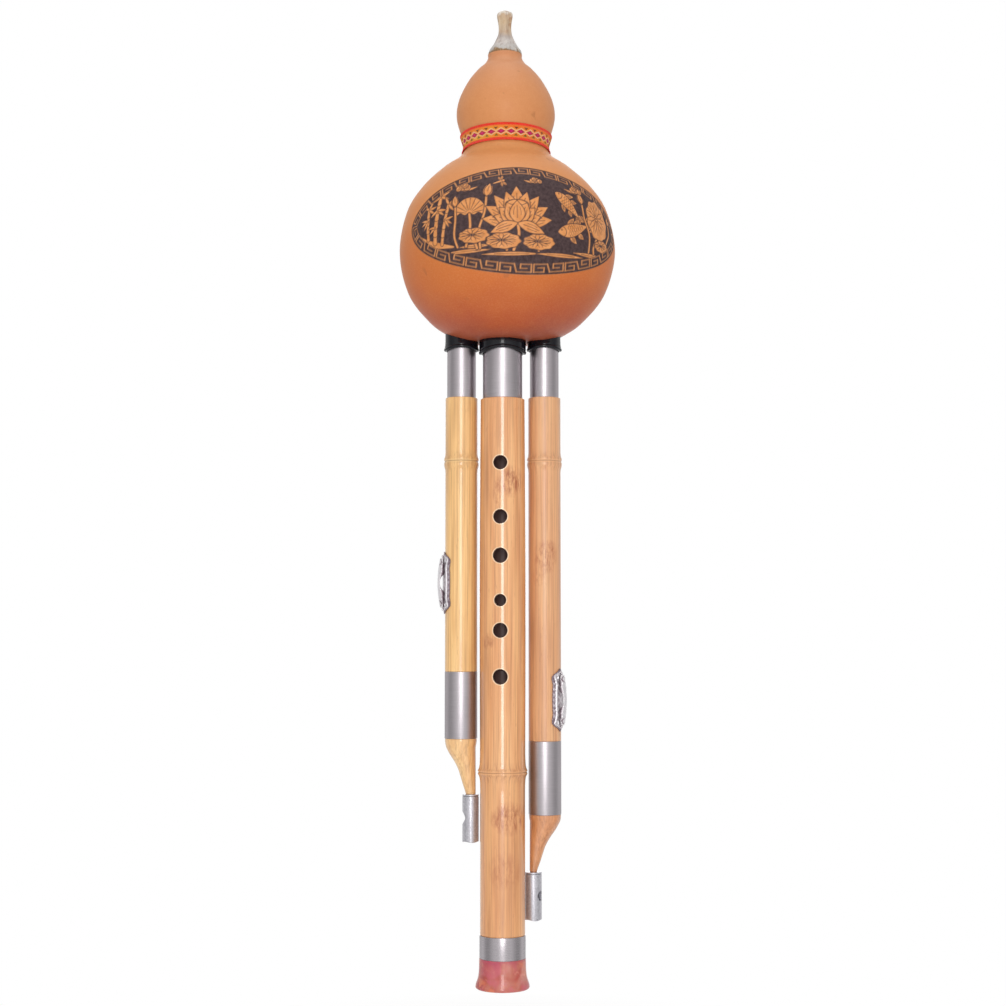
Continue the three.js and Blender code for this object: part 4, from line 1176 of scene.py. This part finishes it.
def woven_ribbon():
    m = Shader("woven_ribbon")
    repeats, threads, pick_pitch = 28, 330, 0.42 * mm
    turn = m.math("ARCTAN2", m.y, m.x - lean_at(section_heights[2]) * mm)
    wave = abs(m.math("FRACT", turn * (repeats / full_turn) + 60) * 2 - 1)
    low = (ribbon_middle - ribbon_width / 2) * mm
    up = m.spread(m.math("MULTIPLY_ADD", m.y, ribbon_tilt, m.z), low, low + ribbon_width * mm)
    side = abs(up * 2 - 1)

    def within(value, edge, soft=0.03):
        return m.spread(value, edge - soft, edge + soft, 1, 0)

    off_line = side - (wave * -0.3 + 0.36)
    gem = wave * 0.32 + side
    tooth = within(wave * -0.62 + 0.86 - side, 0) * within(side, 0.5)
    amber = m.mix(m.spread(m.noise(60, 1), 0.4, 0.6), (1.0, 0.72, 0.2), (1.0, 0.52, 0.15))
    leaf = m.mix(m.spread(up, 0.4, 0.6), (0.46, 0.44, 0.10), (0.45, 0.20, 0.07))
    weave = m.math("SINE", turn * threads) * m.math("SINE", m.z * (full_turn / pick_pitch))
    fuzz = m.noise(2600, 2)
    colour = m.layers(
        amber, (within(off_line, 0), (0.99, 0.38, 0.2)), (within(gem, 0.25), (0.70, 0.05, 0.30)),
        (within(gem, 0.13, 0.06), (0.88, 0.05, 0.50)), (tooth, leaf),
        (within(abs(off_line), 0.07), (0.99, 0.83, 0.60)),
        (1 - within(side, 0.64, 0.05), (1.0, 0.45, 0.2)), (1 - within(side, 0.74, 0.05), (1.0, 0.2, 0.15)),
        (m.spread(weave, -1, 1, 0.08, 0), (0.75, 0.12, 0.13)), (fuzz, 0.4, 0.7, 0.12, (0.98, 0.80, 0.62)),
    )
    return m.finish(
        colour, 0.8, m.bump(weave + fuzz, 0.00016, 0.8), sheen_weight=0.1, sheen_roughness=0.4,
        specular_ior_level=0.15,
    )


def black_resin():
    m = Shader("black_resin")
    wear = m.noise(260, 3, 0.6)
    colour = m.mix(m.spread(wear, 0.4, 0.7), (0.05, 0.055, 0.08), (0.085, 0.09, 0.12))
    return m.finish(
        colour, m.spread(wear, 0.35, 0.7, 0.1, 0.18), m.bump(m.noise(900, 2), 0.00004, 0.4),
        coat_weight=0.12, coat_roughness=0.05, specular_ior_level=0.3,
    )


def bamboo(name, pale, deep, seed, centre, burnt_radius, joint=None, flecks=(), rims=(), shine=(0.1, 1.75)):
    """Lacquered bamboo: fibres up the pipe, a joint line, stains, and burnt walls inside the holes."""
    m = Shader(name)
    m.place = m.moved((seed, 0.37 * seed, 0))
    pale, deep = srgb(*pale), srgb(*deep)
    dark = tuple(0.55 * c * tint for c, tint in zip(deep[:3], (1, 0.9, 0.95))) + (1,)
    bright = tuple(min(1, 1.2 * c + 0.03) for c in pale[:3]) + (1,)
    fibre, band = m.noise(1300, 3, 0.6, tall=0.018), m.noise(330, 2, tall=0.05)
    cloud, dash = m.noise(60, 2, tall=0.25), m.noise(1900, 1, shift=(0.2, 0.1, 0), tall=0.12)
    colour = m.layers(
        pale, (band, 0.32, 0.68, 1, deep), (cloud, 0.42, 0.66, 0.7, deep), (cloud, 0.55, 0.72, 0.34, dark),
        (fibre, 0.48, 0.72, 0.6, dark), (fibre, 0.46, 0.28, 0.35, bright), (dash, 0.68, 0.76, 0.3, dark),
    )
    if joint:
        away = abs(m.z - joint * mm)
        wide = m.spread(away, 0.001, 0.005, 0.35, 0) * m.spread(fibre, 0.3, 0.7, 0.3, 1)
        colour = m.layers(
            colour, (wide, dark), (m.spread(away, 0.00045, 0.0009, 0.4, 0), bright),
            (m.spread(away, 0.0001, 0.0005, 0.45, 0), (0.55, 0.35, 0.21)),
        )
    for height, across, tall, wide, strength in flecks:
        up, over = (m.z - height * mm) / (tall * mm), (m.x - across * mm) / (wide * mm)
        speck = m.noise(480, 4, 0.7, shift=(0.4, 0, 0.1), tall=0.3)
        share = m.spread(up * up + over * over, 0.2, 1, strength, 0) * m.spread(speck, 0.4, 0.62)
        colour = m.mix(share * m.spread(m.y, 0, -0.002), colour, (0.60, 0.27, 0.11))
    for height, radius in rims:
        side = m.x * -sin(front_turn) + m.y * cos(front_turn)
        away = m.length(side, m.z - height * mm)
        ring = m.spread(away, (radius + 0.3) * mm, (radius + 0.6) * mm, 0.85, 0) * m.spread(m.y, 0, -0.001)
        colour = m.mix(ring, colour, (0.96, 0.83, 0.68))
    reach = m.length(m.x - centre[0] * mm, m.y - centre[1] * mm)
    burnt = m.spread(reach, (burnt_radius - 0.4) * mm, burnt_radius * mm, 1, 0)
    bore = m.spread(reach, (burnt_radius - 1.8) * mm, (burnt_radius - 1.2) * mm, 1, 0)
    return m.finish(
        m.layers(colour, (burnt, (0.27, 0.20, 0.22)), (bore, (0.55, 0.42, 0.40))),
        m.spread(fibre, 0.3, 0.7, 0.3, 0.42), m.bump(fibre + band * 0.8, 0.00005, 0.4),
        coat_weight=m.spread(burnt, 0, 1, 0.9, 0), coat_roughness=shine[0], coat_ior=shine[1],
        specular_ior_level=0.3,
    )


def brushed_metal(name, low):
    m = Shader(name)
    rings = m.noise(4200, 2, 0.6, wide=0.05)
    smear = m.noise(380, 3, 0.55, shift=(0.1, 0, 0), tall=0.12)
    colour = m.layers(
        (0.725, 0.70, 0.715), (rings, 0.3, 0.7, 1, (0.765, 0.74, 0.755)),
        (smear, 0.45, 0.75, 0.25, (0.665, 0.635, 0.65)),
    )
    rough = m.spread(rings, 0.3, 0.7, low, low + 0.03) + m.spread(smear, 0.4, 0.7, 0, 0.04)
    return m.finish(colour, rough, m.bump(rings, 0.00001, 0.2), metallic=1)


def red_stone():
    m = Shader("red_stone")
    flow = m.noise(95, 3, 0.5, 0.8, tall=0.7)
    cloud = m.noise(120, 2, 0.5, 0.6, (0.4, 0.2, 0.1))
    vein = m.noise(260, 3, 0.6, 1, (0.1, 0.5, 0))
    edge = m.z + m.spread(cloud, 0.3, 0.7, -0.0015, 0.0015)
    colour = m.ramp(
        flow, (0.34, (0.65, 0.215, 0.195)), (0.46, (0.71, 0.31, 0.26)), (0.56, (0.73, 0.40, 0.33)),
        (0.68, (0.78, 0.49, 0.44)),
    )
    colour = m.layers(
        colour, (cloud, 0.5, 0.62, 0.7, (0.76, 0.36, 0.42)), (cloud, 0.44, 0.34, 0.6, (0.85, 0.47, 0.30)),
        (edge, 0.0105, 0.0135, 0.7, (0.68, 0.23, 0.33)), (vein, 0.55, 0.72, 0.35, (0.90, 0.62, 0.55)),
    )
    return m.finish(
        colour, 0.36, m.bump(flow, 0.00003, 0.2), coat_weight=0.6, coat_roughness=0.06,
        subsurface_weight=0.1, subsurface_scale=0.003,
    )


def cast_silver():
    m = Shader("cast_silver")
    grain = m.noise(1300, 3, 0.6)
    # Darker where the relief is low: tarnish together with painted shade in the recesses.
    tarnish_and_shade = m.attribute("relief") + m.spread(grain, 0.3, 0.7, -0.13, 0.13)
    colour = m.ramp(
        tarnish_and_shade, (0.08, (0.50, 0.42, 0.45)), (0.3, (0.70, 0.65, 0.68)), (0.56, (0.88, 0.86, 0.87)),
        (1, (0.93, 0.915, 0.925)),
    )
    return m.finish(colour, m.spread(tarnish_and_shade, 0, 1, 0.5, 0.3), m.bump(grain, 0.00006, 0.5), metallic=0.65)


def valve_metal():
    m = Shader("valve_metal")
    mottle, blotch = m.noise(1100, 3, 0.65), m.noise(300, 2, shift=(0.2, 0, 0), tall=0.4)
    speck = m.noise(1200, 1, 0.4, shift=(0.7, 0.1, 0))
    colour = m.layers(
        (0.73, 0.72, 0.745), (mottle, 0.35, 0.68, 1, (0.84, 0.835, 0.855)),
        (blotch, 0.45, 0.7, 0.35, (0.70, 0.69, 0.72)), (speck, 0.72, 0.78, 0.6, (0.36, 0.35, 0.37)),
    )
    return m.finish(colour, 0.36, m.bump(mottle + speck, 0.00008, 0.5), metallic=0.7)


def seat_wood():
    m = Shader("seat_wood")
    grain, wax = m.noise(900, 4, 0.6, tall=0.05), m.noise(260, 3)
    colour = m.layers(
        (0.48, 0.3, 0.17), (grain, 0.3, 0.7, 1, (0.64, 0.43, 0.26)), (wax, 0.55, 0.7, 0.5, (0.78, 0.58, 0.3)),
    )
    return m.finish(colour, m.spread(wax, 0.5, 0.7, 0.65, 0.35), m.bump(grain, 0.0001, 0.6))


def reed_brass():
    m = Shader("reed_brass")
    brush, stain = m.noise(4000, 2, tall=0.03), m.noise(400, 3)
    colour = m.layers(
        (0.79, 0.62, 0.28), (brush, 0.3, 0.7, 1, (0.9, 0.75, 0.42)),
        (stain, 0.5, 0.75, 0.4, (0.6, 0.42, 0.2)),
    )
    return m.finish(colour, m.spread(brush, 0.3, 0.7, 0.28, 0.4), m.bump(brush, 0.00002, 0.4), metallic=1)


# The pieces. Each finish is kept under its slot's name, but for the spouts' and the tail ring's own shades

# Flecks on the bamboo: height, place across, half height, half width and strength
main_flecks = (
    (224.5, 3.5, 8, 6.5, 0.8), (219, -2.2, 9, 2.6, 0.5), (75, 3, 8, 9, 0.8), (153, -6.5, 4, 3, 0.6),
    (52, 1, 9, 8, 0.4),
)
right_flecks = ((191, 20, 8, 7, 0.75), (182, 16, 5, 4, 0.5))
finishes = {name: bamboo(name, *values) for name, *values in (
    (
        "main_bamboo", (0.91, 0.685, 0.46), (0.85, 0.585, 0.37), 0.1, main_centre, 9.75, joint_height,
        main_flecks, finger_holes,
    ),
    (
        "left_bamboo", (0.955, 0.785, 0.54), (0.90, 0.70, 0.45), 0.5, left_centre, 5, node_height,
        (), (), (0.19, 1.55),
    ),
    ("left_spout", (0.95, 0.78, 0.55), (0.90, 0.70, 0.47), 0.3, left_centre, 0),
    (
        "right_bamboo", (0.89, 0.69, 0.495), (0.835, 0.60, 0.425), 0.9, right_centre, 5, node_height,
        right_flecks, (), (0.32, 1.45),
    ),
    ("right_spout", (0.85, 0.595, 0.40), (0.785, 0.515, 0.325), 1.3, right_centre, 0),
)}
for make_finish in (gourd_skin, dried_stem, woven_ribbon, black_resin, red_stone, cast_silver, valve_metal):
    finishes[make_finish.__name__] = make_finish()
finishes["brushed_metal"] = brushed_metal("brushed_metal", 0.36)
ring_metal = brushed_metal("ring_metal", 0.24)

dress(make_gourd(), "gourd", ["gourd_shell", "gourd_base"], "gourd_skin")
dress(make_stem(), "gourd", ["blow_stem"], "dried_stem", sharp=60)
dress(make_ribbon(), "gourd", ["waist_ribbon"], "woven_ribbon")

# Sleeves: radii of lip, collar, neck and bore, then drop, rise and the lip's cope
main_sleeve = (10.8, 10.6, main_neck, 9.25, 6.4, main_rise, 2)
drone_sleeve = (8.1, 7.55, drone_neck, 6.85, 4.3, drone_rise, 1)
for name, sizes, centre in (
    ("centre_sleeve", main_sleeve, main_centre),
    ("left_sleeve", drone_sleeve, left_centre),
    ("right_sleeve", drone_sleeve, right_centre),
):
    dress(make_sleeve(name + "_lip", *sizes, centre), "gourd", [name], "black_resin")

ends = (shoulder, main_tube_top)
tube = make_pipe("main_tube_polished", main_tube_radius, main_tube_inside, *ends, main_centre)
dress(tube, "main_pipe", ["main_tube"], "brushed_metal")
dress(make_main_bamboo(), "main_pipe", ["main_bamboo"], "main_bamboo")
tail_ring = make_pipe("tail_ring_polished", ring_radius, ring_radius - 1, ring_foot, ring_top, main_centre)
dress(tail_ring, "main_pipe", ["tail_ring"], "brushed_metal", ring_metal)
dress(make_bell(), "main_pipe", ["tail_bell"], "red_stone")

for drone in (left, right):
    n, body = drone.name, drone.body
    ends = (drone_top, drone_tube_top)
    tube = make_pipe(n + "_tube_polished", drone_tube_radius, drone_tube_inside, *ends, drone.centre)
    dress(tube, body, [n + "_tube"], "brushed_metal")
    dress(make_drone_bamboo(drone), body, [n + "_bamboo"], n + "_bamboo")
    ends = (drone.ferrule_foot, drone.ferrule_top)
    ferrule = make_pipe(n + "_ferrule_polished", ferrule_radius, ferrule_radius - 0.5, *ends, drone.centre)
    dress(ferrule, body, [n + "_ferrule"], "brushed_metal")
    dress(make_spout(drone), body, [n + "_spout"], n + "_bamboo", finishes[n + "_spout"])
    dress(make_plate(drone), body, [n + "_handle_plate"], "cast_silver", sharp=50)
    dress(make_bow(drone), body, [n + "_handle_bow"], "cast_silver", sharp=50)
    for level, height in zip(("lower", "upper"), pin_heights(drone)):
        pin = make_pin(drone, height, f"{n}_{level}_pin_head")
        set_attribute(pin, "relief", np.ones(len(pin.data.vertices)))
        dress(pin, body, [f"{n}_{level}_handle_pin"], "cast_silver")
    parts = (n + "_valve", "valve_sleeve"), (body, "valve_core"), (n + "_valve", "valve_plug")
    for piece, (rider, node) in zip(make_valve(drone), parts):
        dress(piece, rider, [f"{n}_{node}"], "valve_metal")

# The seats and reeds inside the gourd keep their solids
wood, brass = seat_wood(), reed_brass()
for n in ("main", "left", "right"):
    for node, material in ((n + "_reed_seat", wood), (n + "_reed", brass)):
        data = bpy.data.objects[node].data
        data.materials.clear()
        data.materials.append(material)


# Floor, studio and lights

def studio_walls(m):
    """The studio round the object: white behind it, grey at its sides, a pale wall with a strip in front."""
    facing = m.y * -1 / m.math("MAXIMUM", m.length(m.x, m.y), 0.001)
    stops = (
        (0, 1), (0.045, 1), (0.06, 0.6), (0.13, 0.62), (0.24, 0.8), (0.33, 0.76), (0.43, 0.56),
        (0.54, 0.43), (0.65, 0.43), (0.76, 0.58), (0.87, 0.78), (0.985, 0.8), (0.997, 1.3),
    )
    return m.ramp(m.spread(facing, -1, 1), *((place, (level, level, level, 1)) for place, level in stops))


def make_floor():
    """Pale paper, low enough that the melody pipe can come all the way down above it."""
    low, reach = -40, 30000
    corners = [(x * reach * mm, y * reach * mm, low * mm) for x, y in ((-1, -1), (1, -1), (1, 1), (-1, 1))]
    mesh = bpy.data.meshes.new("floor")
    mesh.from_pydata(corners, [], [(0, 1, 2, 3)])
    floor = add_object("floor", mesh)
    m = Shader("floor_paper")
    away, camera_ray = m.length(m.x, m.y), m.ray("Camera")
    # Near the pipes the floor is lit paper. Further out it glows: white to the camera, and to glossy rays it
    # shows the studio's walls with their bright strip, a painted reflection.
    seen, mirrored = m.spread(away, 0.04, 0.2) * camera_ray, m.spread(away, 0.03, 0.06) * m.ray("Glossy")
    colour = m.mix(camera_ray, studio_walls(m), (1, 1, 1))
    paper = m.new("ShaderNodeBsdfDiffuse", {"Color": srgb(0.985, 0.985, 0.985)})
    lit = m.new("ShaderNodeEmission", {"Color": colour, "Strength": 1})
    mixed = m.new("ShaderNodeMixShader", {0: m.math("MAXIMUM", seen, mirrored), 1: paper, 2: lit})
    m.new("ShaderNodeOutputMaterial", {"Surface": mixed})
    mesh.materials.append(m.material)


def make_world():
    """White to the camera, the studio's walls to every other ray."""
    world = bpy.data.worlds.new("studio")
    world.use_nodes = True
    scene.world = world
    m = Shader("studio", world.node_tree, "Generated")
    behind = m.math("GREATER_THAN", m.y, 0.9) * m.ray("Glossy")
    seen = m.math("MAXIMUM", m.math("MAXIMUM", m.ray("Camera"), m.ray("Transmission")), behind)
    colour = m.mix(seen, studio_walls(m), (1, 1, 1))
    sky = m.new("ShaderNodeBackground", {"Color": colour, "Strength": 1})
    m.new("ShaderNodeOutputWorld", {"Surface": sky})


def lamp(name, power, size, place, target):
    light = bpy.data.lights.new(name, "AREA")
    light.shape = "RECTANGLE"
    light.size, light.size_y = size
    light.energy = power
    piece = add_object(name, light)
    piece.location = place
    aim = np.array(target) - np.array(place)
    yaw = math.atan2(aim[1], aim[0]) - quarter
    pitch = math.atan2(aim[2], math.hypot(aim[0], aim[1])) + quarter
    piece.rotation_euler = (pitch, 0, yaw)
    return piece


make_floor()
make_world()
lamp("front", 4.7, (0.28, 1.0), (0, -1.25, 0.3), (0, 0, 0.22))
for side, name in ((-1, "left_fill"), (1, "right_fill")):
    lamp(name, 0.7, (0.6, 0.9), (side * 0.62, -1.05, 0.28), (0, 0, 0.22)).visible_glossy = False
lamp("top", 3.2, (0.8, 0.8), (0, -0.1, 1.5), (0, 0, 0))
lamp("rear", 2.5, (0.5, 0.9), (0, 1.3, 0.6), (0, 0, 0.2))
